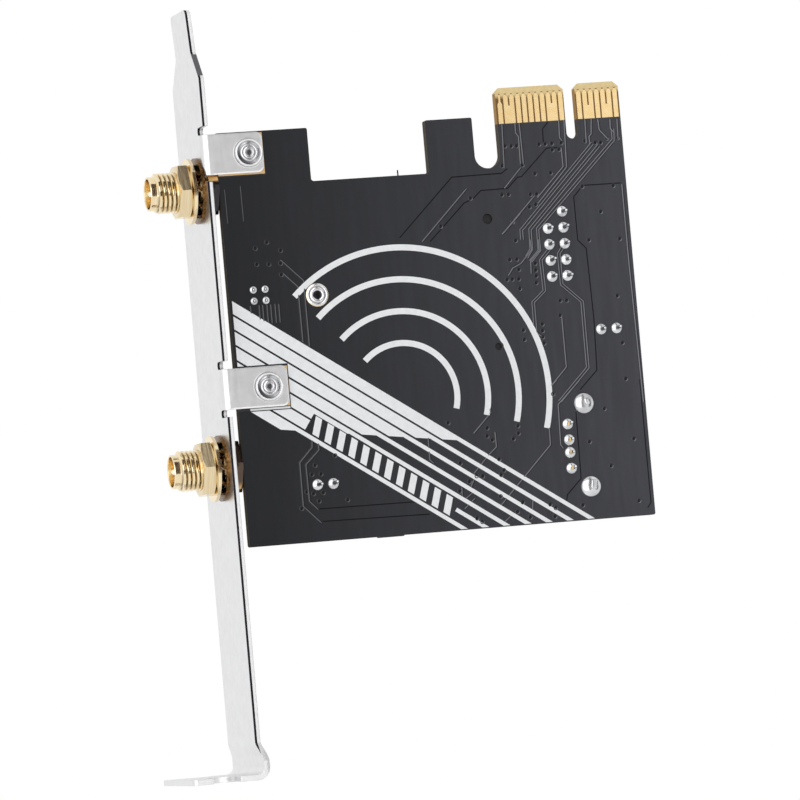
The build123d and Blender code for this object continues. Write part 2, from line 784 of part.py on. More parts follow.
def shield_can():
    """Pressed cover over the radio, open underneath."""
    low = socket_middle - shield_width / 2
    front = standoff_front - shield_setback
    back = front - shield_length
    top = module_face + shield_height
    can = block((back, front), (module_face, top), (low, low + shield_width))
    can = fillet(can.edges().filter_by(Axis.Y) + can.edges().group_by(Axis.Y)[-1], 0.35)
    inside = block((back + shield_wall, front - shield_wall), (module_face - 1, top - shield_wall),
                   (low + shield_wall, low + shield_width - shield_wall))
    return can - inside


def coax_receptacles():
    """Two tiny snap-on receptacles on the module, for the leads from the jacks."""
    group = Part()
    x = standoff_front - coax_setback
    radius, pin = coax_diameter / 2, coax_pin / 2
    floor = module_face + coax_base_height
    top = module_face + coax_height
    half = coax_base / 2
    for side in (-1, 1):
        z = socket_middle + side * coax_spacing / 2
        base = block((x - half, x + half), (module_face, floor), (z - half, z + half))
        ring = turned_along_y([(floor, radius - coax_wall), (floor, radius), (top, radius),
                               (top, radius - coax_wall)], x, z)
        post = turned_along_y([(floor, 0), (floor, pin), (top - pin, pin), (top - pin, 0)], x, z)
        group += base + ring + post
    return group


def header_bases(places, pitch_x, pitch_z, height, bevel):
    """One moulded block for each pin, joined side by side, with the corners cut off."""
    group = Part()
    for x, z in places:
        cell = Rectangle(pitch_x, pitch_z)
        cell = chamfer(cell.vertices(), bevel)
        group += upright(Pos(x, z) * cell, component_face, component_face + height)
    return group


def pins_through(places, size, above):
    """Square pins through the board, pointed at both ends. They fill the holes in their bases."""
    half = size / 2
    bottom = solder_face - pin_below
    top = component_face + above
    group = Part()
    for x, z in places:
        pin = block((x - half, x + half), (bottom, top), (z - half, z + half))
        ends = pin.edges().group_by(Axis.Y)
        pin = chamfer(ends[0] + ends[-1], size * 0.25)
        group += pin
    return group


def nine_pin_block():
    """The moulded base also covers the corner that has no pin."""
    nine, _ = header_pin_places()
    blank = (usb_header_front + header_pitch, usb_header_low)
    return nine + [blank]


def pierced(base, places, size):
    """A header base with square holes for its pins."""
    half = size / 2
    reach = board_thickness / 2 + header_base + cut_margin
    cuts = [block((x - half, x + half), (0, reach), (z - half, z + half)) for x, z in places]
    return base - cuts


def plug_shell_piece():
    """Folded shell, open at the tail edge, with a flared mouth and two pegs into the board."""
    length = plug_length
    outer = block((plug_mouth, plug_mouth + length), (plug_floor, plug_floor + plug_height),
                  (plug_low, plug_low + plug_width))
    outer = fillet(outer.edges().filter_by(Axis.X), plug_shell_round)
    wall = plug_shell
    inner = block((plug_mouth - 1, plug_mouth + length - wall),
                  (plug_floor + wall, plug_floor + plug_height - wall),
                  (plug_low + wall, plug_low + plug_width - wall))
    inner = fillet(inner.edges().filter_by(Axis.X), plug_shell_round - wall)
    floor_gap = block((plug_contact_front - plug_floor_gap_back, plug_mouth + length + cut_margin),
                      (plug_floor - cut_margin, plug_floor + 2 * wall),
                      (plug_middle - plug_floor_gap / 2, plug_middle + plug_floor_gap / 2))
    shell = outer - inner - floor_gap
    for x, z in plug_peg_places():
        side = 1 if z > plug_middle else -1
        inside = z - side * wall
        low, high = min(z, inside), max(z, inside)
        half = plug_peg_width / 2
        shell += block((x - half, x + half), (solder_face - 0.6, plug_floor + plug_shell_round + 0.3),
                       (low, high))
    roof = plug_floor + plug_height
    shell += block((plug_mouth - plug_flare, plug_mouth + wall), (roof - wall, roof),
                   (plug_middle - plug_flap_width / 2, plug_middle + plug_flap_width / 2))
    return shell


def plug_insulator():
    """Moulded block at the back of the shell, with the tongue that carries the contacts."""
    wall = plug_shell + 0.02
    back = plug_mouth + plug_length - plug_shell - 0.02
    root = plug_mouth + plug_tongue_length + 1.6
    tongue_low = plug_floor + plug_shell + plug_tongue_gap - plug_tongue / 2
    half = plug_tongue_width / 2
    body = block((root, back), (plug_floor + wall, plug_floor + plug_height - wall),
                 (plug_low + wall + 0.35, plug_low + plug_width - wall - 0.35))
    body += block((plug_mouth + 1.3, root + 0.1), (tongue_low, tongue_low + plug_tongue),
                  (plug_middle - half, plug_middle + half))
    for x, z in plug_contact_places():
        slot = plug_contact_width / 2 + 0.05
        body -= block((plug_mouth + 1.2, x + plug_contact_sheet + 0.05),
                      (tongue_low - 1, tongue_low + plug_contact_sheet), (z - slot, z + slot))
        body -= block((x - plug_contact_sheet, x + plug_contact_sheet + 0.05),
                      (plug_floor - 1, tongue_low + plug_contact_sheet), (z - slot, z + slot))
    return body


def plug_contacts():
    """Four springs along the tongue, bent down through the board."""
    tongue_low = plug_floor + plug_shell + plug_tongue_gap - plug_tongue / 2
    half = plug_contact_width / 2
    sheet_height = plug_contact_sheet
    group = Part()
    for x, z in plug_contact_places():
        group += block((plug_mouth + 1.9, x + sheet_height), (tongue_low, tongue_low + sheet_height),
                       (z - half, z + half))
        group += block((x, x + sheet_height), (component_face, tongue_low + sheet_height),
                       (z - half, z + half))
        tail = plug_tail / 2
        group += block((x, x + sheet_height), (solder_face - pin_below, component_face + 0.1),
                       (z - tail, z + tail))
    return group


def solder_dome(x, z, diameter, height):
    """A concave cone with a round top, as solder draws up a pin."""
    radius = diameter / 2
    base = solder_face
    return turned_along_y([(base, 0), (base, radius), (base - height * 0.25, radius * 0.93),
                           (base - height * 0.6, radius * 0.72), (base - height * 0.88, radius * 0.42),
                           (base - height, 0)], x, z)


def solder_joints(pin_solids):
    nine, pairs = header_pin_places()
    group = Part()
    for x, z in nine + pairs + plug_contact_places():
        group += solder_dome(x, z, joint_diameter, joint_height)
    for x, z in service_pin_places():
        group += solder_dome(x, z, service_joint, joint_height * 0.75)
    for x, z in plug_peg_places():
        group += solder_dome(x, z, peg_joint, peg_joint_height)
    return group - pin_solids


def chip(x, z, size, along_z, wrap_only):
    """A two-ended chip part. wrap_only gives its two end caps, otherwise the body between them."""
    length, width, height = size
    span_x, span_z = (width, length) if along_z else (length, width)
    whole = block((x - span_x / 2, x + span_x / 2), (component_face, component_face + height),
                  (z - span_z / 2, z + span_z / 2))
    keep = length - 2 * terminal_wrap
    keep_x, keep_z = (span_x + 1, keep) if along_z else (keep, span_z + 1)
    middle = block((x - keep_x / 2, x + keep_x / 2), (component_face - 1, component_face + height + 1),
                   (z - keep_z / 2, z + keep_z / 2))
    return whole - middle if wrap_only else whole & middle


def chips(places, size, wrap_only):
    group = Part()
    for x, z, along_z in places:
        group += chip(x, z, size, along_z, wrap_only)
    return group


def regulator_case():
    length, height, width = regulator_body
    case = block((regulator_front - length / 2, regulator_front + length / 2),
                 (component_face + 0.06, component_face + height),
                 (regulator_height - width / 2, regulator_height + width / 2))
    return chamfer(case.edges().group_by(Axis.Y)[-1], 0.25)


def gull_lead(x, width, direction):
    """A lead that leaves the case half way up, turns down and ends in a flat foot."""
    _, height, depth = regulator_body
    sheet_height = regulator_lead_sheet
    edge = depth / 2
    half_up = component_face + height / 2
    foot = edge + regulator_lead_reach
    knee = edge + 0.55
    profile = [(edge, half_up), (knee, half_up), (knee + 0.35, component_face + sheet_height),
               (foot, component_face + sheet_height), (foot, component_face),
               (knee + 0.12, component_face), (knee - 0.23, half_up - sheet_height),
               (edge, half_up - sheet_height)]
    points = [(x - width / 2, y, regulator_height + direction * z) for z, y in profile]
    return extrude(make_face(Polyline(*points, close=True)), amount=width, dir=(1, 0, 0))


def regulator_leads():
    group = gull_lead(regulator_front, regulator_tab_width, 1)
    for index in (-1, 0, 1):
        group += gull_lead(regulator_front + index * regulator_lead_pitch, regulator_lead_width, -1)
    return group


def choke():
    """Moulded power choke on two feet."""
    length, height, width = choke_size
    body = block((choke_front - length / 2, choke_front + length / 2),
                 (component_face + choke_foot, component_face + height),
                 (choke_height - width / 2, choke_height + width / 2))
    return fillet(body.edges().filter_by(Axis.Y), choke_round)


def choke_feet():
    length, _, width = choke_size
    group = Part()
    for side in (-1, 1):
        x = choke_front + side * (length / 2 - 0.75)
        group += block((x - 0.7, x + 0.7), (component_face, component_face + choke_foot),
                       (choke_height - width / 2 + 0.4, choke_height + width / 2 - 0.4))
    return group


def slanted_strip(across, width, front, back):
    """A strip parallel to the bands. across is measured square to them, from the first one."""
    slope = tan(radians(band_angle))
    stretch = 1 / cos(radians(band_angle))
    low = [(x, band_start + (board_front - x) * slope + across * stretch) for x in (front, back)]
    high = [(x, z + width * stretch) for x, z in reversed(low)]
    return polygon(*(low + high))


def band_field():
    """Bands of full width up to a step line, and thin lines that carry on beyond it."""
    front = board_front - band_edge
    before, after = board_front + cut_margin, board_tail - cut_margin
    heights = [step_height + (step_front - x) * step_rise for x in (before, after)]
    full = polygon((before, 0), (before, heights[0]), (after, heights[1]), (after, 0))
    field = Sketch()
    for index in range(band_count):
        across = index * band_pitch
        field += slanted_strip(across, band_line, front, board_tail)
        field += slanted_strip(across, band_pitch - band_gap, front, board_tail) & full
    return field


def beside_bands(*corners):
    """An outline whose corners are (along, across) the bands, from the first one at the bracket edge."""
    run, rise = cos(radians(band_angle)), sin(radians(band_angle))
    return polygon(*[(board_front - along * run + across * rise, band_start + along * rise + across * run)
                     for along, across in corners])


def row_of_bars():
    """Slanted bars in the lane of one band."""
    low = row_band * band_pitch + band_line / 2 - row_bar_height / 2
    high = low + row_bar_height
    field = Sketch()
    for index in range(row_bar_count):
        start = row_start + row_margin + index * row_bar_pitch
        field += beside_bands((start, low), (start + row_bar_width, low),
                              (start + row_bar_width + row_bar_slant, high), (start + row_bar_slant, high))
    return field


def row_lane():
    """The bare strip that the row of bars stands in."""
    low = row_band * band_pitch + band_line / 2 - row_bar_height / 2 - row_bar_clearance
    high = low + row_bar_height + 2 * row_bar_clearance
    end = row_start + (row_bar_count - 1) * row_bar_pitch + row_bar_width + row_bar_slant + 2 * row_margin
    return beside_bands((row_start, low), (end, low), (end, high), (row_start, high))


def ripples():
    """Nested arcs, open towards the bands."""
    field = Sketch()
    for radius in ripple_radii:
        arc = CenterArc((ripple_front, ripple_low), radius, -ripple_to, ripple_to - ripple_from)
        field += trace(arc, ripple_line)
    return field


def white_print():
    """All the white print on the solder side, kept clear of the edges, pads and standoff."""
    field = band_field() - row_lane() + row_of_bars() + ripples()
    limit = board_outline()
    inset = polygon((board_tail + print_clearance, shoulder_height + print_clearance),
                    (board_front - print_clearance, shoulder_height + print_clearance),
                    (board_front - print_clearance, board_height - print_clearance),
                    (board_tail + print_clearance, board_height - print_clearance))
    field = field & inset & limit
    for low, end in zip(tab_low, tab_end):
        edge = end - pad_margin_end - print_clearance
        bottom = low - pad_margin_side - print_clearance
        top = low + tab_width + pad_margin_high + print_clearance
        field -= polygon((edge, bottom), (board_front, bottom), (board_front, top), (edge, top))
    places = header_pin_places()
    for x, z in places[0] + places[1] + plug_contact_places() + service_pin_places():
        field -= Pos(x, z) * Circle(joint_diameter / 2 + print_clearance)
    for x, z in plug_peg_places():
        field -= Pos(x, z) * Circle(peg_joint / 2 + print_clearance)
    field -= Pos(standoff_front, socket_middle) * Circle(standoff_rivet / 2 + print_clearance)
    for (x, z), size in zip(socket_peg_places(), peg_diameter):
        field -= Pos(x, z) * Circle(size / 2 + 2 * print_clearance)
    return upright(field, solder_face - print_height, solder_face)


def build():
    """Every node by name."""
    nine, pairs = header_pin_places()
    service = service_pin_places()
    nine_pins = pins_through(nine, pin_size, pin_above)
    pair_pins = pins_through(pairs, pin_size, pin_above)
    service_pins = pins_through(service, service_pin, service_above)
    springs = plug_contacts()
    shell = plug_shell_piece()
    nine_base = header_bases(nine_pin_block(), header_pitch, header_pitch, header_base, header_bevel)
    pair_base = header_bases(pairs, header_pitch, header_pitch, header_base, header_bevel)
    service_blocks = header_bases(service, service_pitch_x, service_pitch_z, service_base, header_bevel / 2)
    nodes = {
        "circuit_board": circuit_board(),
        "edge_contacts_solder_side": edge_contacts(solder_face - copper_height, solder_face,
                                                   ((1, 1), (1, 8), (-1, 1), (-1, 4))),
        "edge_contacts_component_side": edge_contacts(component_face, component_face + copper_height,
                                                      ((1, 3), (-1, 2))),
        "ground_pads": ground_pads(),
        "white_print": white_print(),
        "bracket": bracket(),
        "module_socket": socket_housing(),
        "module_socket_contacts": socket_contacts(),
        "module_standoff": standoff(),
        "module_screw": module_screw(),
        "radio_module_board": module_board(),
        "radio_module_contacts": module_contacts(),
        "radio_shield": shield_can(),
        "coax_receptacles": coax_receptacles(),
        "nine_pin_header_base": pierced(nine_base, nine, pin_size),
        "nine_pin_header_pins": nine_pins,
        "two_pin_header_bases": pierced(pair_base, pairs, pin_size),
        "two_pin_header_pins": pair_pins,
        "service_header_base": pierced(service_blocks, service, service_pin),
        "service_header_pins": service_pins,
        "plug_socket_shell": shell,
        "plug_socket_insulator": plug_insulator(),
        "plug_socket_contacts": springs,
        "solder_joints": solder_joints([nine_pins, pair_pins, service_pins, springs, shell]),
        "capacitor_bodies": chips(capacitor_places, capacitor_size, False),
        "capacitor_terminals": chips(capacitor_places, capacitor_size, True),
        "resistor_bodies": chips(resistor_places, resistor_size, False),
        "resistor_terminals": chips(resistor_places, resistor_size, True),
        "regulator_case": regulator_case(),
        "regulator_leads": regulator_leads(),
        "power_choke": choke(),
        "power_choke_feet": choke_feet(),
    }
    for index, (x, z) in enumerate(tab_screws, start=1):
        nodes[f"bracket_screw_{index}"] = bracket_screw(x, z)
    for index, z in enumerate(jack_height, start=1):
        nodes[f"antenna_jack_body_{index}"] = jack_body(z)
        nodes[f"antenna_jack_insulator_{index}"] = jack_insulator(z)
        nodes[f"antenna_jack_pin_{index}"] = jack_core(z)
        nodes[f"antenna_jack_nut_{index}"] = jack_nut(z)
        nodes[f"antenna_jack_washer_{index}"] = jack_flat_washer(z)
        nodes[f"antenna_jack_lock_washer_{index}"] = jack_lock_washer(z)
    return nodes


os.makedirs("parts", exist_ok=True)
for name, shape in build().items():
    export_step(shape, f"parts/{name}.step")
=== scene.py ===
"""Looks of a wireless network card for a computer's expansion slot.

Lengths are written in millimetres and turned to metres where a mesh is made. X runs from the tail edge to the
bracket, Y from the solder side to the component side, and Z up from the contact edge.
"""
import math

import bmesh
import bpy
import numpy as np
from mathutils import Matrix, Vector
from mathutils.bvhtree import BVHTree


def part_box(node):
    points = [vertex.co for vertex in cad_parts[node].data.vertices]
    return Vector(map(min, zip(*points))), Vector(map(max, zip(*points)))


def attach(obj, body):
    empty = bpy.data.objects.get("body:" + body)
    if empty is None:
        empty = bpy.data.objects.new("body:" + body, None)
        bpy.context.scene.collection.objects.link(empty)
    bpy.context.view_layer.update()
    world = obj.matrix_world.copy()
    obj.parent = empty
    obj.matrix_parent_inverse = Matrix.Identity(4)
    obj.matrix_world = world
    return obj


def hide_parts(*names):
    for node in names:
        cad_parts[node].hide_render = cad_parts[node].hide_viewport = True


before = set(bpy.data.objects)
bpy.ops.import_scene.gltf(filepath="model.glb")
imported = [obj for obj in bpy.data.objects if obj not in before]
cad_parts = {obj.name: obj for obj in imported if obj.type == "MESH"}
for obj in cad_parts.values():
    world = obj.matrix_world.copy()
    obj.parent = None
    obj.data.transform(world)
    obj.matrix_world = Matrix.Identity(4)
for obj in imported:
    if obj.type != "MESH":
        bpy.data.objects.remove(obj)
bpy.context.scene.view_settings.view_transform = "Standard"
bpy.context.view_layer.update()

MM = 0.001


def corner(node, high):
    """The lowest or highest corner of a frame node, in millimetres."""
    return np.array(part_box(node)[1 if high else 0]) / MM


# Places read from the frame
solder_face = corner("circuit_board", False)[1]
component_face = corner("circuit_board", True)[1]
print_face = corner("white_print", False)[1]
jack_tip = corner("antenna_jack_body_1", True)[0]
jack_back = corner("antenna_jack_body_1", False)[0]
nut_back = corner("antenna_jack_nut_1", False)[0]
nut_front = corner("antenna_jack_nut_1", True)[0]
foot_top = corner("bracket", True)[2]
screw_tip = corner("bracket_screw_1", False)[1]
standoff_end = corner("module_standoff", False)[1]

# Places on the board's faces, as (x, z)
mask_start = 5.7                       # the mask starts above the contacts
rows_end = 12.3                        # the contact rows end before this, towards the bracket
tips_start = 1.45                      # the contacts' tips
contact_counts = (11, 7)               # towards the bracket and towards the tail
contact_first = 1.5                    # from the middle of the key notch
contact_pitch = 1.0
bevel_height = 0.9                     # the contact edge is bevelled up to here
painted_sheen_ends = (54.0, -8.0)               # X where the ink's painted sheen is least and where it is most
face_margin = 0.012                    # how far inside the faces the sawn edges are told from them
cloth_layer = 0.36                     # thickness of a layer of glass cloth
header_pitch = 2.54
nine_pin_header = (4.14, 25.18)
tail_header = (-3.15, 39.09)
side_header = (44.95, 60.05)
service_header = (52.88, 29.99)
plug_socket = (-1.20, 57.11)
plug_contact_x = 4.98
plug_contact_heights = (53.61, 56.11, 58.11, 60.61)
shell_pegs = ((2.05, 50.54), (2.05, 63.68))
regulator = (24.0, 58.0)
choke = (34.5, 58.0)
standoff_place = (43.66, 30.57)
tab_screws = ((52.93, 7.80), (52.85, 44.30))

# Places on the bracket and the jacks
bracket_inner = 59.48
bracket_outer = 60.34
tongue_root = -8.6
tongue_lean = 3.0                      # degrees, outwards
torn_width = 0.36                      # of the band that shearing left next to the outer face
foot_bend = 2.2                        # height of the foot's bend, below the foot
taper_middle, taper_half = -6.35, 1.85
tab_rounding, edge_rounding = 0.48, 0.14
tab_face = -1.695
tab_low = (4.60, 41.12)
tab_width = 6.32
gold_above_tabs = (0.25, 0.0)          # how far each pad stays bare above its tab
print_lap_end = 55.9                   # up to this X the print laps over the second tab's pad
print_lap_margin = 0.10
burr_crown = -2.195
jack_axis = 2.75
jack_heights = (12.92, 56.25)

# Sizes of the dressed details
thread_pitch = 0.7056
thread_depth = 0.40
thread_crest = 3.175
hexagon_width = 8.0
hexagon_cone = 4.62                    # radius at which the nut's and the flange's cones meet the hexagon
flange_thickness = 1.5
sleeve_radius = 1.8
lead_length = 0.95                     # plain stretch in front of the thread
lead_radius = 2.675
mouth_radius = 2.35
track_width = 0.46
pair_width = 0.40
trace_height = 0.07
under_print = 0.22                     # share of a height that is left where the print covers it
gap_width = 0.22
gap_depth = dict(height=0.003, base=0.002)
via_radius = 0.30
via_rise = 0.06
peg_cap_radius = 1.72
peg_cap_height = 0.80


# Meshes

def grid_faces(rows, columns, close_rows=False, close_columns=False):
    """Quads between neighbouring points of a grid stored row by row. A closed way joins its two ends."""
    r, c = np.meshgrid(np.arange(rows if close_rows else rows - 1),
                       np.arange(columns if close_columns else columns - 1), indexing="ij")
    next_r = (r + 1) % rows
    next_c = (c + 1) % columns
    low, high = r * columns, next_r * columns
    return np.stack([low + c, low + next_c, high + next_c, high + c], -1).reshape(-1, 4).tolist()


def joined(shapes):
    """Several (points, faces) shapes as one."""
    points, faces, first = [], [], 0
    for shape_points, shape_faces in shapes:
        points.append(shape_points)
        faces += [[index + first for index in face] for face in shape_faces]
        first += len(shape_points)
    return np.concatenate(points), faces


def turned(profile, centre, along="y", sides=40, reach=None):
    """A profile of (place, radius) pairs swung about an axis: each point is the radius at its place turned
    through an angle.

    A profile that starts and ends on the axis is closed there by poles; any other is a ring closed on itself.
    reach(place, radius, angle) gives another radius, as on a thread or a hexagon.
    """
    places, radii = np.array(profile, float).T
    poles = radii[0] == 0 and radii[-1] == 0
    inner = slice(1, -1) if poles else slice(None)
    turn = np.linspace(0, 2 * math.pi, sides, endpoint=False)
    place, angle = np.meshgrid(places[inner], turn, indexing="ij")
    radius = np.repeat(radii[inner][:, None], sides, 1)
    if reach is not None:
        radius = reach(place, radius, angle)
    across, up = radius * np.cos(angle), radius * np.sin(angle)
    rows = len(places[inner])
    faces = grid_faces(rows, sides, close_rows=not poles, close_columns=True)
    points = np.stack([place, across, up], -1).reshape(-1, 3)
    if poles:
        points = np.concatenate([points, [[places[0], 0, 0], [places[-1], 0, 0]]])
        ring = np.arange(sides)
        last = (rows - 1) * sides
        faces += [[rows * sides, int(i), int((i + 1) % sides)] for i in ring]
        faces += [[rows * sides + 1, int(last + (i + 1) % sides), int(last + i)] for i in ring]
    a, b, c = points.T
    if along == "y":
        return np.stack([centre[0] + b, a, centre[1] + c], -1), faces
    return np.stack([a, centre[0] + b, centre[1] + c], -1), faces


def print_cover():
    """Tells whether the white print covers a place (x, z) of the solder side."""
    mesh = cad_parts["white_print"].data
    tree = BVHTree.FromPolygons([v.co.copy() for v in mesh.vertices],
                                [tuple(p.vertices) for p in mesh.polygons])
    start = (print_face - 1) * MM
    inwards, far_enough = Vector((0, 1, 0)), 2 * MM
    return lambda x, z: tree.ray_cast(Vector((x * MM, start, z * MM)), inwards, far_enough)[0] is not None


covered = print_cover()


def divided(route, step=0.4):
    """A route with points added so that none of its runs is longer than step millimetres."""
    route = np.array(route, float)
    runs = np.linalg.norm(np.diff(route, axis=0), axis=1)
    pieces = [np.linspace(a, b, max(1, int(math.ceil(run / step))), endpoint=False)
              for a, b, run in zip(route[:-1], route[1:], runs)]
    return np.concatenate(pieces + [route[-1:]])


# Painted light and shade across a track and across a gap between copper areas, as solder_mask_relief reads it
track_painted_light_pattern = (0.3, 0.95, 0.45, 0.08, 0.0, 0.08, 0.45, 0.95, 0.3)
gap_painted_shade_pattern = (0.3, 0.6, 0.9, 0.9, 0.9, 0.9, 0.9, 0.6, 0.3)


def raised_line(route, width, height, side=1.0, base=0.004):
    """A line along a route on the board: a raised cosine across, that sinks to nothing at both ends.

    The route is a list of (x, z). side is 1 on the solder side and -1 on the component side. Under the print
    the line keeps only a share of its height.
    """
    route = divided(route)
    steps = np.diff(route, axis=0)
    steps /= np.linalg.norm(steps, axis=1)[:, None]
    ends = min(0.25, width)
    route = np.concatenate([[route[0] - steps[0] * ends], route, [route[-1] + steps[-1] * ends]])
    steps = np.concatenate([[steps[0]], steps, [steps[-1]]])
    before = np.concatenate([[steps[0]], steps])
    after = np.concatenate([steps, [steps[-1]]])
    middle = before + after
    middle /= np.linalg.norm(middle, axis=1)[:, None]
    stretch = 1 / np.clip((middle * before).sum(1), 0.5, 1)
    normal = np.stack([-middle[:, 1], middle[:, 0]], -1) * stretch[:, None]
    across = np.linspace(-1, 1, len(track_painted_light_pattern))
    bump = 0.5 * (1 + np.cos(math.pi * across)) * height
    rise = np.array([under_print if side > 0 and covered(*place) else 1.0 for place in route])
    rise[0] = rise[-1] = 0
    flat = route[:, None, :] + normal[:, None, :] * across[None, :, None] * width / 2
    face = solder_face if side > 0 else component_face
    level = face - side * (base * (rise[:, None] > 0) + rise[:, None] * bump[None, :])
    points = np.stack([flat[..., 0], level, flat[..., 1]], -1).reshape(-1, 3)
    return points, grid_faces(len(route), len(across))


def build(name, shape, material, stands_for=(), sharp=35.0, closed=True, shade=None):
    """Puts a shape into Blender as a piece that rides on the card, in place of the frame's nodes named."""
    points, faces = shape
    mesh = bpy.data.meshes.new(name)
    mesh.from_pydata((np.asarray(points) * MM).tolist(), [], faces)
    work = bmesh.new()
    work.from_mesh(mesh)
    if closed:
        bmesh.ops.remove_doubles(work, verts=work.verts, dist=1e-8)
        bmesh.ops.recalc_face_normals(work, faces=work.faces)
    work.to_mesh(mesh)
    work.free()
    mesh.shade_smooth()
    mesh.set_sharp_from_angle(angle=math.radians(sharp))
    if shade is not None:
        layer = mesh.attributes.new("depth", "FLOAT", "POINT")
        layer.data.foreach_set("value", np.asarray(shade, np.float32))
    mesh.materials.append(material)
    piece = bpy.data.objects.new(name, mesh)
    bpy.context.scene.collection.objects.link(piece)
    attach(piece, "root")
    if stands_for:
        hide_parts(*stands_for)


def face_the_viewer(shape, side=1.0):
    """An open surface on the board, with its faces turned away from the board."""
    points, faces = shape
    points = np.asarray(points)
    corners = np.array([face[:3] for face in faces])
    one, two, three = points[corners[:, 0]], points[corners[:, 1]], points[corners[:, 2]]
    out = np.cross(two - one, three - one)[:, 1]
    return points, [face[::-1] if value * side > 0 else face for face, value in zip(faces, out)]


# Materials

def colour(code):
    """An sRGB hex colour as linear values."""
    parts = [int(code[i:i + 2], 16) / 255 for i in (1, 3, 5)]
    return tuple(p / 12.92 if p <= 0.04045 else ((p + 0.055) / 1.055) ** 2.4 for p in parts) + (1.0,)


def feed(tree, node, inputs):
    """Sets a node's inputs to values, or links them to outputs. A node stands for its first output in use."""
    for socket, value in inputs.items():
        if isinstance(value, bpy.types.Node):
            value = next(output for output in value.outputs if output.enabled)
        if isinstance(value, bpy.types.NodeSocket):
            tree.links.new(value, node.inputs[socket])
        else:
            node.inputs[socket].default_value = value


def add(tree, kind, inputs=None, stops=None, **settings):
    """Adds one shader node: its settings, its inputs as feed takes them, and a ramp's stops."""
    node = tree.nodes.new("ShaderNode" + kind)
    for name, value in settings.items():
        setattr(node, name, value)
    feed(tree, node, inputs or {})
    if stops:
        ramp = node.color_ramp
        while len(ramp.elements) < len(stops):
            ramp.elements.new(0.5)
        for element, (place, code) in zip(ramp.elements, stops):
            element.position = place
            element.color = colour(code)
    return node


def material(name, **constants):
    """A material, its node tree and its Principled shader, with constants set on the shader's sockets."""
    made = bpy.data.materials.new(name)
    made.use_nodes = True
    shader = made.node_tree.nodes["Principled BSDF"]
    for socket, value in constants.items():
        shader.inputs[socket.replace("_", " ")].default_value = value
    return made, made.node_tree, shader


def patches(tree, size, detail=3.0, stretch=(1, 1, 1)):
    """A mottle on the object's coordinates, in patches of size millimetres, longer where stretch is small."""
    place = add(tree, "TexCoord").outputs["Object"]
    scaled = add(tree, "Mapping", {"Vector": place, "Scale": stretch})
    return add(tree, "TexNoise", {"Vector": scaled, "Scale": 1 / (size * MM), "Detail": detail})


def own_place(tree):
    """The X, Y and Z of each point in the object's own coordinates."""
    return add(tree, "SeparateXYZ", {"Vector": add(tree, "TexCoord").outputs["Object"]}).outputs


def mottled(name, tints, size, depth, stretch=(1, 1, 1), **constants):
    """A finish whose colour wanders between two tints, with a surface that rises by depth millimetres."""
    made, tree, shader = material(name, **constants)
    mottle = patches(tree, size, 3.0, stretch)
    tint = add(tree, "ValToRGB", {"Fac": mottle}, stops=[(0.3, tints[0]), (0.7, tints[1])])
    bump = add(tree, "Bump", {"Height": mottle, "Distance": depth * MM})
    feed(tree, shader, {"Base Color": tint, "Normal": bump})
    return made


def ink(tree, shader, depth):
    """Black ink with faint lengthwise streaks in colour and height, as the glass cloth shows through it.

    A painted sheen: the ink is painted lighter and shinier towards the tail, and deeper black and duller
    towards the bracket.
    """
    streak = patches(tree, 1.1, 4.0, (1.0, 1.0, 0.12))
    fine = patches(tree, 0.45, 3.0, (1.0, 1.0, 0.3))
    axes = own_place(tree)
    # painted sheen: the ink is painted lighter and shinier from the bracket towards the tail
    painted_sheen = add(tree, "MapRange", {"Value": axes["X"], "From Min": painted_sheen_ends[0] * MM,
                                  "From Max": painted_sheen_ends[1] * MM})
    unsheened_tint = add(tree, "ValToRGB", {"Fac": streak}, stops=[(0.30, "#080a0f"), (0.72, "#0e1017")])
    painted_sheen_tint = add(tree, "ValToRGB", {"Fac": streak}, stops=[(0.30, "#2a2b31"), (0.72, "#33343c")])
    tint = add(tree, "Mix", {0: painted_sheen, 6: unsheened_tint, 7: painted_sheen_tint}, data_type="RGBA")
    shine = add(tree, "MapRange", {"Value": painted_sheen, "To Min": 0.30, "To Max": 0.54})
    bump = add(tree, "Bump", {"Height": fine, "Distance": depth * MM})
    feed(tree, shader, {"Specular IOR Level": shine, "Normal": bump})
    return tint, painted_sheen


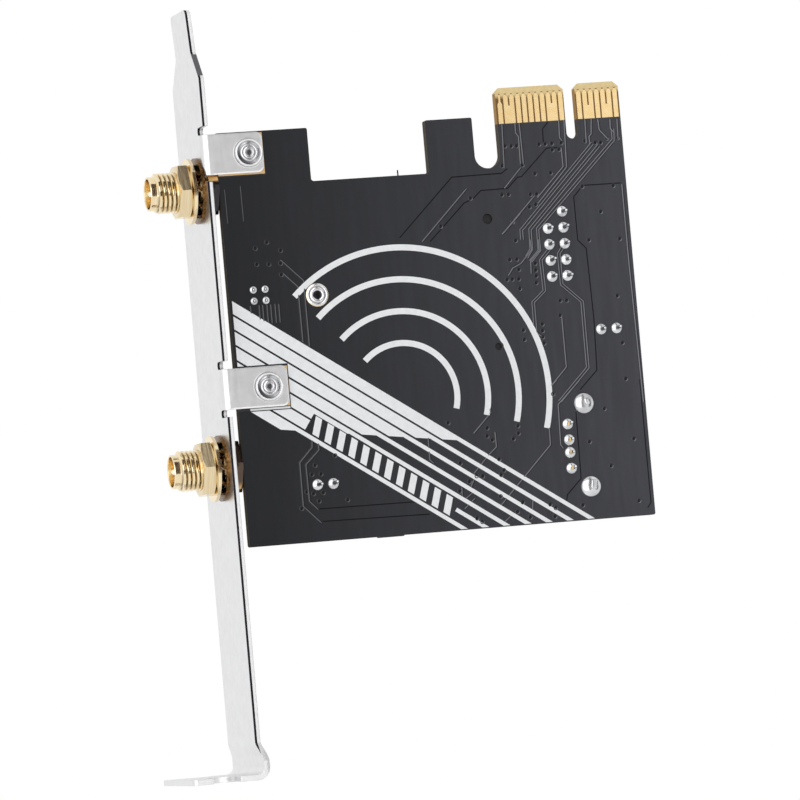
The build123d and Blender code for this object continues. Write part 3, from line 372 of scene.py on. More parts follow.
def solder_mask_board():
    """Black screen-printed solder mask over glass-epoxy laminate: satin and faintly streaked. It stops above
    the contacts, where the bare laminate is straw-coloured at the edge and brown between the contacts; sawn
    edges are dark brown."""
    made, tree, shader = material("black_solder_mask_on_glass_epoxy")
    place = add(tree, "TexCoord").outputs["Object"]
    axes = add(tree, "SeparateXYZ", {"Vector": place}).outputs
    from_middle = add(tree, "Math", {0: axes["Y"]}, operation="ABSOLUTE")
    on_a_face = add(tree, "Math", {0: from_middle, 1: (component_face - face_margin) * MM},
                    operation="GREATER_THAN")
    low = add(tree, "Math", {0: axes["Z"], 1: mask_start * MM}, operation="LESS_THAN")
    in_rows = add(tree, "Math", {0: axes["X"], 1: rows_end * MM}, operation="LESS_THAN")
    bare = add(tree, "Math", {0: low, 1: in_rows}, operation="MULTIPLY")
    covered = add(tree, "Math", {0: 1.0, 1: bare}, operation="SUBTRACT")
    masked = add(tree, "Math", {0: on_a_face, 1: covered}, operation="MULTIPLY")
    layers = add(tree, "TexWave", {"Vector": place, "Scale": 1 / (cloth_layer * MM) / 20, "Distortion": 2.0,
                                   "Detail": 2.0, "Detail Scale": 300.0}, bands_direction="Y")
    sawn = add(tree, "ValToRGB", {"Fac": layers.outputs["Fac"]}, stops=[(0.1, "#3a3226"), (0.9, "#544a38")])
    height = add(tree, "MapRange", {"Value": axes["Z"], "From Min": (tips_start - 0.25) * MM,
                                    "From Max": (tips_start + 0.35) * MM})
    cloth = patches(tree, 0.5)
    straw = add(tree, "ValToRGB", {"Fac": cloth}, stops=[(0.3, "#dcc38c"), (0.7, "#e8d29e")])
    between = add(tree, "Mix", {0: height, 6: straw, 7: colour("#74552c")}, data_type="RGBA")
    bare_face = add(tree, "Math", {0: bare, 1: on_a_face}, operation="MULTIPLY")
    sides = add(tree, "Mix", {0: bare, 6: sawn, 7: colour("#b08a50")}, data_type="RGBA")
    laminate = add(tree, "Mix", {0: bare_face, 6: sides, 7: between}, data_type="RGBA")
    bevel = add(tree, "Math", {0: axes["Z"], 1: bevel_height * MM}, operation="LESS_THAN")
    bevelled = add(tree, "Mix", {0: bevel, 6: laminate, 7: straw}, data_type="RGBA")
    tint = add(tree, "Mix", {0: masked, 6: bevelled, 7: ink(tree, shader, 0.004)[0]}, data_type="RGBA")
    dull = add(tree, "MapRange", {"Value": masked, "To Min": 0.85, "To Max": 0.40})
    feed(tree, shader, {"Base Color": tint, "Roughness": dull})
    return made


def solder_mask_relief():
    """The same ink over tracks, holes and gaps, with light and shade painted by the piece's own depth
    attribute:
    0 for a painted highlight, bright over a crest, 0.3 on the flat and 1 for painted shade, matt and black,
    along a foot or in a hollow."""
    made, tree, shader = material("black_solder_mask_over_copper_painted_light_and_shade", Roughness=0.30)
    depth = add(tree, "Attribute", attribute_name="depth").outputs["Fac"]
    flat, painted_sheen = ink(tree, shader, 0.003)
    # painted highlight over crests and painted shade at feet and in hollows, by the depth attribute
    bright = add(tree, "Mix", {0: painted_sheen, 6: colour("#4e4f54"), 7: colour("#7f8086")}, data_type="RGBA")
    crest = add(tree, "MapRange", {"Value": depth, "From Min": 0.3, "From Max": 0.0})
    hollow = add(tree, "MapRange", {"Value": depth, "From Min": 0.3, "From Max": 1.0})
    over = add(tree, "Mix", {0: crest, 6: flat, 7: bright}, data_type="RGBA")
    tint = add(tree, "Mix", {0: hollow, 6: over, 7: colour("#030304")}, data_type="RGBA")
    shine = add(tree, "MapRange", {"Value": hollow, "To Min": 0.5, "To Max": 0.04})
    feed(tree, shader, {"Base Color": tint, "Specular IOR Level": shine})
    return made


def bare_pads():
    """Thin gold on pads: paler and duller than the contacts. Past the tabs' edges the mask laps over it, and
    above the second tab the white print does too."""
    made, tree, shader = material("immersion_gold_on_pads")
    axes = own_place(tree)
    beside = [add(tree, "Math", {0: axes["Z"], 1: (low + (tab_width + more) / 2) * MM,
                                 2: ((tab_width + more) / 2 - 0.05) * MM}, operation="COMPARE")
              for low, more in zip(tab_low, gold_above_tabs)]
    above = add(tree, "Math", {0: axes["Z"], 1: (tab_low[1] + tab_width + print_lap_margin) * MM},
                operation="GREATER_THAN")
    clear = add(tree, "Math", {0: axes["X"], 1: print_lap_end * MM}, operation="LESS_THAN")
    printed = add(tree, "Math", {0: above, 1: clear}, operation="MULTIPLY")
    lap = add(tree, "Mix", {0: printed, 6: colour("#101115"), 7: colour("#e6e8ea")}, data_type="RGBA")
    bare = add(tree, "Math", {0: beside[0], 1: beside[1]}, operation="MAXIMUM")
    gold = add(tree, "ValToRGB", {"Fac": patches(tree, 0.5)}, stops=[(0.3, "#dfb981"), (0.7, "#ecca98")])
    tint = add(tree, "Mix", {0: bare, 6: lap, 7: gold}, data_type="RGBA")
    dull = add(tree, "MapRange", {"Value": bare, "To Min": 0.5, "To Max": 0.30})
    feed(tree, shader, {"Metallic": bare, "Base Color": tint, "Roughness": dull})
    return made


def plated_steel():
    """Cold-rolled sheet with bright nickel plating: pale and softly mirror-like, with faint rolling lines and
    a
    rounded arris. Painted light and shade: a white highlight along the tabs' edges that face one way, tabs a
    shade darker than the upright, and a torn band next to the outer face wherever the sheet was sheared,
    painted near-black as a dark reflection."""
    made, tree, shader = material("nickel_plated_rolled_sheet", Metallic=1.0)
    mottle = patches(tree, 1.3, 5.0)
    lines = patches(tree, 0.35, 2.0, (1.0, 1.0, 0.05))
    upright_tint = add(tree, "ValToRGB", {"Fac": mottle}, stops=[(0.3, "#dcdcdd"), (0.7, "#e4e4e5")])
    # painted shade: the tabs are painted a shade darker than the upright
    tab_painted_shade_tint = add(tree, "ValToRGB", {"Fac": mottle}, stops=[(0.3, "#d6d6d7"), (0.7, "#dededf")])
    axes = own_place(tree)
    on_tab = add(tree, "MapRange", {"Value": axes["X"], "From Min": (bracket_inner + 0.3) * MM,
                                    "From Max": (bracket_inner - 1.0) * MM})
    plate = add(tree, "Mix", {0: on_tab, 6: upright_tint, 7: tab_painted_shade_tint}, data_type="RGBA")
    facing = add(tree, "SeparateXYZ", {"Vector": add(tree, "NewGeometry").outputs["True Normal"]})
    sideways = add(tree, "Math", {0: facing.outputs["X"]}, operation="ABSOLUTE")
    sheared = add(tree, "Math", {0: sideways, 1: 0.35}, operation="LESS_THAN")
    below = add(tree, "Math", {0: tongue_root * MM, 1: axes["Z"]}, operation="SUBTRACT")
    down_the_tongue = add(tree, "Math", {0: below, 1: 0.0}, operation="MAXIMUM")
    straight = add(tree, "Math", {0: down_the_tongue, 1: -math.tan(math.radians(tongue_lean)), 2: axes["X"]},
                   operation="MULTIPLY_ADD")
    torn = add(tree, "Math", {0: straight, 1: (bracket_outer - torn_width) * MM}, operation="GREATER_THAN")
    taper = add(tree, "Math", {0: axes["Z"], 1: taper_middle * MM, 2: taper_half * MM}, operation="COMPARE")
    upright = add(tree, "Math", {0: axes["Z"], 1: (foot_top - foot_bend) * MM}, operation="LESS_THAN")
    plate_zone = add(tree, "Math", {0: axes["X"], 1: (bracket_inner - 0.05) * MM}, operation="GREATER_THAN")
    band = add(tree, "Math", {0: sheared, 1: plate_zone}, operation="MULTIPLY")
    low_band = add(tree, "Math", {0: torn, 1: upright}, operation="MULTIPLY")
    dark = add(tree, "Math", {0: band, 1: low_band}, operation="MULTIPLY")
    rounding = add(tree, "MapRange", {"Value": on_tab, "To Min": edge_rounding * MM,
                                      "To Max": tab_rounding * MM})
    arris = add(tree, "Bevel", {"Radius": rounding}, samples=8)
    # painted highlight: tab edges whose bevelled normal faces -X and +Z are painted white
    towards_painted_highlight = add(tree, "VectorMath", {0: arris, 1: (-0.6, 0.0, 0.8)}, operation="DOT_PRODUCT")
    arris_painted_highlight = add(tree, "MapRange", {"Value": towards_painted_highlight, "From Min": 0.02, "From Max": 0.12, "To Max": 0.95})
    bright = add(tree, "Math", {0: arris_painted_highlight, 1: on_tab}, operation="MULTIPLY")
    with_arris_highlight = add(tree, "Mix", {0: bright, 6: plate, 7: colour("#ffffff")}, data_type="RGBA")
    # painted dark reflection: the torn band of the sheared edge is painted near-black
    cut = add(tree, "Mix", {0: dark, 6: with_arris_highlight, 7: colour("#26262a")}, data_type="RGBA")
    slope = add(tree, "Math", {0: band, 1: taper}, operation="MULTIPLY")
    tint = add(tree, "Mix", {0: slope, 6: cut, 7: colour("#66666a")}, data_type="RGBA")
    sheen = add(tree, "MapRange", {"Value": lines, "From Min": 0.3, "From Max": 0.7, "To Min": 0.29,
                                   "To Max": 0.33})
    dulled = add(tree, "Math", {0: band, 1: 0.2, 2: sheen}, operation="MULTIPLY_ADD")
    bump = add(tree, "Bump", {"Height": mottle, "Distance": 0.003 * MM, "Normal": arris})
    feed(tree, shader, {"Base Color": tint, "Roughness": dulled, "Normal": bump})
    return made


def turned_gold(name, tints, smooth, rough, depth, line=0.16):
    """Gold flashed over turned brass: a pale yellow mirror with fine tool marks round the axis, with painted
    shade, greyer, where the depth attribute tells of a thread's groove. The flange behind the bracket is
    painted
    with painted shade and dark reflections: dark grey above 11.7 mm on the lower jack, brownish up to 59 mm
    on the upper jack, gold elsewhere."""
    made, tree, shader = material(name, Metallic=1.0)
    rings = patches(tree, line, 2.0, (1.0, 0.04, 0.04))
    tint = add(tree, "ValToRGB", {"Fac": rings}, stops=[(0.25, tints[0]), (0.75, tints[1])])
    sheen = add(tree, "MapRange", {"Value": rings, "From Min": 0.3, "From Max": 0.7, "To Min": smooth,
                                   "To Max": rough})
    bump = add(tree, "Bump", {"Height": rings, "Distance": depth * MM})
    axes = own_place(tree)
    behind = add(tree, "Math", {0: axes["X"], 1: (bracket_inner - flange_thickness / 2) * MM,
                                2: (flange_thickness / 2 + 0.01) * MM}, operation="COMPARE")
    groove = add(tree, "Attribute", attribute_name="depth").outputs["Fac"]
    # painted shade: the thread's grooves are painted greyer by the depth attribute
    groove_painted_shade = add(tree, "Mix", {0: groove, 6: tint, 7: colour("#a89a80")}, data_type="RGBA")
    up_the_card = add(tree, "MapRange", {"Value": axes["Z"], "From Max": 100 * MM})
    # painted shade and dark reflections on the flange, by height up the card
    flange_painted_shade = add(tree, "ValToRGB", {"Fac": up_the_card}, stops=[
        (0.117, "#d8ae74"), (0.121, "#3c3a3b"), (0.300, "#3c3a3b"), (0.310, "#5a4c42"), (0.588, "#5a4c42"),
        (0.596, "#c8a470")])
    flange_shaded = add(tree, "Mix", {0: behind, 6: groove_painted_shade, 7: flange_painted_shade}, data_type="RGBA")
    feed(tree, shader, {"Base Color": flange_shaded, "Roughness": sheen, "Normal": bump})
    return made


def thread_end_painted_shade():
    """Zinc-plated screw end: bright rings with painted shade in the grooves between them, by the depth
    attribute.
    """
    made, tree, shader = material("zinc_plated_thread_end", Metallic=1.0, Roughness=0.22)
    depth = add(tree, "Attribute", attribute_name="depth").outputs["Fac"]
    tint = add(tree, "ValToRGB", {"Fac": depth},
               stops=[(0.0, "#e3e3e5"), (0.45, "#a2a2a6"), (1.0, "#2c2c30")])
    bump = add(tree, "Bump", {"Height": patches(tree, 0.3), "Distance": 0.01 * MM})
    feed(tree, shader, {"Base Color": tint, "Normal": bump})
    return made


finishes = {
    "solder_mask_board": solder_mask_board(),
    # Hard gold on contacts: warm and bright with a fine mottle from the plating bath
    "gold_plate": mottled("hard_gold_on_contacts", ("#fbd898", "#ffe4ae"), 0.9, 0.002, Metallic=1.0,
                          Roughness=0.15),
    "bare_pad": bare_pads(),
    # Epoxy ink laid through a screen: flat white with a faint mesh texture
    "print_white": mottled("white_screen_ink", ("#e6e8ea", "#f0f1f3"), 0.9, 0.003, Roughness=0.62,
                           Specular_IOR_Level=0.3),
    "plated_steel": plated_steel(),
    # Zinc on cut steel: bright grey with a soft mottle
    "screw_zinc": mottled("zinc_plated_screw_steel", ("#c9c9cb", "#dcdcdd"), 0.4, 0.006, Metallic=1.0,
                          Roughness=0.28),
    "jack_gold": turned_gold("gold_flashed_turned_brass", ("#e9d4aa", "#f5e5c2"), 0.10, 0.17, 0.002),
    # Fluoropolymer rod, turned: milky white and waxy
    "jack_plastic": mottled("turned_fluoropolymer", ("#eceae4", "#f5f4f0"), 0.3, 0.004, Roughness=0.45),
    # Glass-filled nylon: black and finely speckled where fibres reach the skin
    "black_moulding": mottled("glass_filled_nylon", ("#141415", "#1d1d1f"), 0.25, 0.006, Roughness=0.46,
                              Specular_IOR_Level=0.35),
    # Flash gold on rolled bronze: springy strips with a soft shine
    "contact_gold": mottled("flash_gold_on_spring_bronze", ("#e2c384", "#edd39a"), 0.3, 0.003, Metallic=1.0,
                            Roughness=0.25),
    # Nickel on spring sheet: a warm grey mirror with faint drawing marks
    "nickel": mottled("nickel_plated_spring_sheet", ("#d2cfc7", "#d9d6ce"), 0.6, 0.001, (1.0, 0.3, 1.0),
                      Metallic=1.0, Roughness=0.2),
    # Green mask over glass-epoxy: glossy, with the copper fill showing as lighter cloud
    "module_board": mottled("green_solder_mask", ("#10381f", "#1c5433"), 0.7, 0.005, Roughness=0.3),
    # Tinned steel, drawn and brushed along the module
    "shield_metal": mottled("drawn_tinned_steel", ("#cdcdcb", "#dcdcda"), 0.4, 0.004, (1.0, 1.0, 0.06),
                            Metallic=1.0, Roughness=0.3),
    # Drawn square pins with flash gold: crisp bright ends
    "pin_gold": mottled("flash_gold_on_drawn_pins", ("#dfc07f", "#ebd095"), 0.3, 0.003, Metallic=1.0,
                        Roughness=0.24),
    # Tin solder as it flowed: liquid-smooth silver with slow waves
    "solder": mottled("tin_solder_as_flowed", ("#b2b3b6", "#e2e3e5"), 1.7, 0.010, Metallic=1.0,
                      Roughness=0.20),
    # Fired ceramic: matt tan
    "capacitor_ceramic": mottled("fired_barium_ceramic", ("#8f7456", "#a2866a"), 0.15, 0.004, Roughness=0.5),
    # Glass glaze on a resistor: black and glossy
    "resistor_glaze": mottled("black_glass_glaze", ("#101012", "#18181a"), 0.4, 0.003, Roughness=0.2),
    # Tinned end caps: satin silver
    "tinned_terminal": mottled("tinned_end_cap", ("#d0d0d2", "#e0e0e1"), 0.2, 0.004, Metallic=1.0,
                               Roughness=0.3),
    # Epoxy package with the mould's fine spark-eroded grain
    "chip_moulding": mottled("black_epoxy_package", ("#19191b", "#222224"), 0.12, 0.006, Roughness=0.55,
                             Specular_IOR_Level=0.35),
    # Pressed iron powder under grey paint: grainy and matt
    "choke_ferrite": mottled("pressed_iron_powder", ("#37373a", "#48484b"), 0.12, 0.01, Roughness=0.6),
}
# Milled hexagons: satin gold with fine lines from the cutter
nut_gold = turned_gold("gold_flashed_milled_brass", ("#d8c198", "#eadab6"), 0.13, 0.22, 0.004, 0.22)
# Stamped bronze lock washer: brown, with polish left only on the teeth
washer_bronze = mottled("tarnished_spring_bronze", ("#2f1f12", "#8e683a"), 0.35, 0.008, Metallic=1.0,
                        Roughness=0.26)
ink_with_painted_light = solder_mask_relief()
# Copper ends of the plating stubs, cut through when the bevel was milled: raw and brown
stub_copper = mottled("cut_copper_stub", ("#7c4c28", "#96613a"), 0.2, 0.002, Roughness=0.5)
# A jack's centre pin painted pale gold, nearly white, as a painted highlight
pin_painted_highlight_gold = mottled("gold_pin_painted_pale_as_highlight", ("#f4ead2", "#fcf6e6"), 0.3, 0.002, Metallic=1.0, Roughness=0.30)
thread_end_zinc = thread_end_painted_shade()

slots_of = {
    "solder_mask_board": ["circuit_board"],
    "gold_plate": ["edge_contacts_solder_side", "edge_contacts_component_side"],
    "bare_pad": ["ground_pads"],
    "print_white": ["white_print"],
    "plated_steel": ["bracket"],
    "screw_zinc": ["bracket_screw_1", "bracket_screw_2", "module_screw"],
    "jack_gold": ["antenna_jack_body_1", "antenna_jack_body_2", "antenna_jack_nut_1", "antenna_jack_nut_2",
                  "antenna_jack_washer_1", "antenna_jack_washer_2", "coax_receptacles"],
    "jack_plastic": ["antenna_jack_insulator_1", "antenna_jack_insulator_2"],
    "black_moulding": ["module_socket", "nine_pin_header_base", "two_pin_header_bases", "service_header_base",
                       "plug_socket_insulator"],
    "contact_gold": ["radio_module_contacts", "module_socket_contacts", "plug_socket_contacts",
                     "antenna_jack_pin_1", "antenna_jack_pin_2"],
    "nickel": ["plug_socket_shell", "module_standoff"],
    "module_board": ["radio_module_board"],
    "shield_metal": ["radio_shield"],
    "pin_gold": ["nine_pin_header_pins", "two_pin_header_pins", "service_header_pins"],
    "solder": ["solder_joints"],
    "capacitor_ceramic": ["capacitor_bodies"],
    "resistor_glaze": ["resistor_bodies"],
    "tinned_terminal": ["capacitor_terminals", "resistor_terminals", "regulator_leads", "power_choke_feet"],
    "chip_moulding": ["regulator_case"],
    "choke_ferrite": ["power_choke"],
}

for slot_name, nodes in slots_of.items():
    for node in nodes:
        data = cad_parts[node].data
        data.materials.clear()
        data.materials.append(finishes[slot_name])
for number in (1, 2):
    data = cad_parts[f"antenna_jack_lock_washer_{number}"].data
    data.materials.clear()
    data.materials.append(washer_bronze)


# Tracks and vias under the mask

# Routes as (x, z) on the solder side, worked out from the photograph
paired_tracks = (
    ((-2.97, 9.80), (9.40, 22.26), (9.77, 22.59), (9.78, 23.93)),
    ((-3.99, 10.22), (8.34, 22.61), (8.40, 25.72), (9.16, 26.80)),
    ((-6.65, 7.82), (-6.62, 9.31), (7.09, 22.62), (7.10, 26.01), (8.56, 27.51)),
    ((5.61, 26.08), (7.00, 27.52), (6.86, 32.38), (8.86, 34.10), (8.89, 39.01), (8.19, 39.63)),
    ((3.42, 25.98), (3.99, 26.75), (3.93, 31.60), (0.84, 34.56), (0.87, 44.99), (5.77, 49.85)),
)
single_tracks = (
    ((-3.27, 6.05), (-3.07, 8.17), (-2.67, 8.57), (-2.71, 9.74)),
    ((-2.24, 5.99), (-2.15, 9.32)),
    ((-4.37, 6.12), (-4.45, 7.62), (-5.59, 8.96)),
    ((-6.36, 6.24), (-6.31, 7.52), (-6.64, 7.96)),
    ((-7.53, 6.31), (-7.43, 9.01)),
    ((2.09, 5.73), (2.17, 8.49), (1.93, 8.79)),
    ((1.21, 5.78), (1.44, 13.14), (6.56, 18.48)),
    ((2.06, 10.27), (2.02, 13.04), (6.47, 17.50)),
    ((7.28, 17.52), (10.67, 20.84), (10.99, 21.17), (12.76, 22.89)),
    ((11.42, 5.73), (11.66, 12.36)),
    ((9.29, 5.72), (9.29, 7.28), (8.90, 7.87), (8.95, 11.97)),
    ((8.58, 5.91), (8.48, 12.14)),
    ((9.14, 12.95), (11.75, 15.69)),
    ((18.27, 15.70), (25.87, 23.21)),
    ((9.76, 20.06), (12.72, 22.89)),
    ((-7.39, 16.68), (-7.41, 28.58), (-7.79, 50.83)),
    ((4.40, 36.74), (4.37, 44.66), (7.97, 48.27), (8.02, 49.68)),
    ((7.14, 24.44), (7.12, 26.06), (8.68, 27.57), (8.76, 29.34)),
    ((8.47, 24.36), (8.35, 25.82), (10.30, 27.87), (11.70, 28.50), (12.37, 29.42)),
    ((48.86, 24.93), (45.64, 28.20), (45.60, 38.20)),
    ((48.79, 26.91), (46.64, 29.09), (46.59, 37.53)),
    ((6.23, 46.65), (7.97, 48.30), (8.07, 56.67), (12.58, 61.16), (16.71, 65.26)),
    ((2.47, 46.92), (6.24, 50.44), (6.40, 56.79), (6.18, 57.13)),
    ((46.49, 53.24), (46.57, 54.19), (48.74, 56.41), (48.77, 63.25), (46.29, 65.83)),
    ((45.55, 53.79), (45.50, 54.67), (47.79, 56.80), (47.72, 62.54), (46.60, 63.74)),
    ((17.45, 49.00), (17.34, 50.93), (20.22, 53.77)),
    ((16.93, 54.26), (16.90, 56.35), (18.13, 57.38), (20.78, 60.07)),
    ((21.06, 61.25), (21.46, 62.02)),
    ((23.09, 62.54), (23.12, 63.33)),
    ((21.66, 63.37), (22.64, 64.09)),
    ((21.24, 64.20), (22.68, 65.45)),
    ((11.75, 65.33), (11.89, 66.45)),
    ((15.70, 67.44), (16.51, 68.10)),
    ((27.82, 54.23), (27.87, 56.15), (27.84, 57.59), (27.45, 57.94)),
)
# The sides of a box printed under the mask
box_lines = (((57.0, 13.5), (56.95, 18.3)), ((54.45, 13.1), (54.4, 18.1)))
box_line_width = 0.26
box_line_height = 0.05
copper_gaps = (
    ((4.03, 6.04), (4.85, 6.91), (4.89, 9.03)),
    ((2.18, 9.98), (4.47, 9.98), (8.97, 14.23), (9.63, 14.26), (11.39, 15.91), (15.79, 15.98), (17.15, 17.16),
     (18.71, 17.79), (24.57, 23.30)),
    ((11.37, 12.93), (12.18, 13.48), (20.33, 13.58), (29.47, 22.40)),
    ((-6.99, 16.23), (-1.30, 16.22), (-0.69, 16.47), (0.70, 17.94), (0.67, 24.81), (-0.61, 26.17),
     (-0.85, 37.27), (-0.60, 45.49), (2.25, 48.20)),
    ((3.44, 52.02), (3.55, 62.33), (6.03, 64.71), (6.21, 65.67)),
    ((-7.50, 47.64), (-7.57, 66.97), (-7.09, 67.58)),
    ((46.60, 63.82), (31.13, 63.90)),
    ((45.63, 65.80), (28.84, 66.00)),
)
# Short ribs that run under the first white band
rib_fronts = (54.46, 53.08, 52.51, 51.82, 51.22, 50.54, 49.94)
rib_low = 31.8
rib_length = 2.4
via_places = (
    (-3.6, 9.62), (-4.52, 9.65), (-5.58, 9.03), (-7.38, 9.07), (-1.94, 9.24), (11.23, 9.25), (10.21, 9.32),
    (9.33, 9.33), (5.63, 9.31), (4.63, 9.33), (3.52, 9.3), (1.97, 9.28), (3.54, 10.32), (2.44, 10.32),
    (6.73, 13.9), (4.14, 13.94), (6.73, 17.13), (7.76, 17.13), (8.09, 19.09), (7.03, 18.74), (11.34, 16.91),
    (12.43, 16.91), (8.65, 12.41), (11.95, 12.32), (11.0, 21.24), (-0.84, 16.41), (-5.95, 16.59),
    (-3.51, 20.58), (-1.16, 24.93), (-6.25, 25.05), (10.83, 24.21), (7.97, 28.02), (7.98, 29.1),
    (7.98, 30.01), (8.08, 31.08), (10.72, 28.81), (12.78, 30.28), (11.94, 30.29), (10.86, 30.3),
    (10.83, 31.82), (4.42, 34.16), (3.36, 34.2), (4.63, 36.48), (-5.03, 34.04), (-5.19, 41.5), (-5.22, 47.2),
    (7.67, 37.65), (7.73, 38.69), (7.77, 39.66), (7.65, 40.68), (10.84, 38.39), (10.81, 39.88), (6.92, 48.75),
    (12.08, 27.18), (10.91, 27.18), (17.58, 17.11), (22.82, 21.21), (52.89, 22.69), (50.98, 21.86),
    (48.9, 23.27), (52.87, 25.18), (50.95, 25.3), (49.07, 25.27), (49.1, 27.04), (13.1, 53.34),
    (13.12, 54.49), (14.0, 55.3), (-1.27, 51.67), (1.63, 56.67), (-5.69, 56.73), (-1.56, 60.73),
    (-5.63, 66.55), (3.63, 66.54), (15.99, 60.09), (13.4, 65.32), (8.95, 66.0), (8.12, 66.65), (14.37, 66.75),
    (12.36, 67.77), (8.33, 67.96), (46.33, 57.03), (46.95, 58.41), (45.51, 58.46), (48.0, 61.05),
    (46.96, 61.4), (45.4, 61.36), (46.17, 62.61), (49.04, 63.55), (41.59, 62.77), (43.02, 55.73),
    (24.38, 52.02), (18.14, 53.31), (18.24, 54.56), (17.46, 55.23), (22.97, 58.46), (19.52, 60.76),
    (21.74, 61.44), (23.44, 62.8), (20.51, 60.68), (16.63, 58.29), (16.52, 60.79), (16.9, 64.13),
    (21.02, 67.26), (20.24, 67.88),
)


def doubled(route, apart=0.44):
    """A route as two beside each other, half the distance to either side."""
    route = np.array(route, float)
    steps = np.gradient(route, axis=0)
    steps /= np.linalg.norm(steps, axis=1)[:, None]
    normal = np.stack([-steps[:, 1], steps[:, 0]], -1)
    return [route + normal * apart / 2, route - normal * apart / 2]


def mask_relief(name, shapes, pattern, side=1.0):
    """Ink over copper and its gaps: shapes on one face of the board, all with one pattern of depths."""
    count = sum(len(points) for points, faces in shapes)
    build(name, face_the_viewer(joined(shapes), side), ink_with_painted_light, closed=False,
          shade=np.tile(pattern, count // len(pattern)))


tracks = [raised_line(route, track_width, trace_height) for route in single_tracks]
tracks += [raised_line(line, pair_width, trace_height) for route in paired_tracks for line in doubled(route)]
tracks += [raised_line(((front, rib_low), (front, rib_low + rib_length)), pair_width, trace_height)
           for front in rib_fronts]
tracks += [raised_line(route, box_line_width, box_line_height) for route in box_lines]
mask_relief("tracks_under_the_mask", tracks, track_painted_light_pattern)
gaps = [raised_line(route, gap_width, **gap_depth) for route in copper_gaps]
mask_relief("gaps_between_copper_areas", gaps, gap_painted_shade_pattern)
contact_fronts = [sign * (contact_first + n * contact_pitch) for sign, count in zip((1, -1), contact_counts)
                  for n in range(count)]
stub_half, stub_z, stub_width, stub_rise = 0.03, 1.03, 0.13, 0.004
stubs = [raised_line(((x - stub_half, stub_z), (x + stub_half, stub_z)), stub_width, stub_rise)
         for x in contact_fronts]
build("plating_stub_ends", face_the_viewer(joined(stubs)), stub_copper, closed=False)


# A via's rings, as (share of its radius, share of its rise)
via_profile = ((1.4, 0.0), (1.25, 0.2), (1.12, 0.7), (1.0, 1.0), (0.88, 1.0), (0.76, 0.7), (0.6, 0.3),
               (0.3, 0.05))
via_sides = 20


def via(x, z, side):
    """Ink over a plated hole: a skirt that rises to a rim and falls into a dimple, turned about Y."""
    radii, levels = np.array(via_profile).T
    radii = radii * via_radius
    turn = np.linspace(0, 2 * math.pi, via_sides, endpoint=False)
    face = solder_face if side > 0 else component_face
    across = x + radii[:, None] * np.cos(turn)
    up = z + radii[:, None] * np.sin(turn)
    share = under_print if side > 0 and covered(x, z) else 1.0
    level = np.repeat(face - side * (0.002 + levels[:, None] * via_rise * share), via_sides, 1)
    points = np.stack([across, level, up], -1).reshape(-1, 3)
    points = np.concatenate([points, [[x, face - side * 0.003, z]]])
    faces = grid_faces(len(via_profile), via_sides, close_columns=True)
    last = (len(via_profile) - 1) * via_sides
    faces += [[last + i, last + (i + 1) % via_sides, last + via_sides] for i in range(via_sides)]
    return points, faces


def via_painted_light_and_shade():
    """The depth attribute of a via: painted shade in its hollow, and a painted highlight on one side of the
    rim.
    Each ring has a depth, less what the painted highlight takes off it."""
    turn = np.linspace(0, 2 * math.pi, via_sides, endpoint=False)
    # painted highlight: the rim is painted lighter on one side
    run = np.clip(np.cos(turn - math.radians(135)), 0, 1)
    depths = np.array([0.3, 0.5, 0.5, 0.45, 0.55, 0.8, 0.85, 0.75])
    taken_by_painted_highlight = np.array([0, 0.4, 0.5, 0.45, 0.55, 0.3, 0, 0])
    painted_hollow_shade = [0.7]
    return np.concatenate([(depths[:, None] - taken_by_painted_highlight[:, None] * run).ravel(), painted_hollow_shade])


mask_relief("tented_vias", [via(*place, 1.0) for place in via_places], via_painted_light_and_shade())


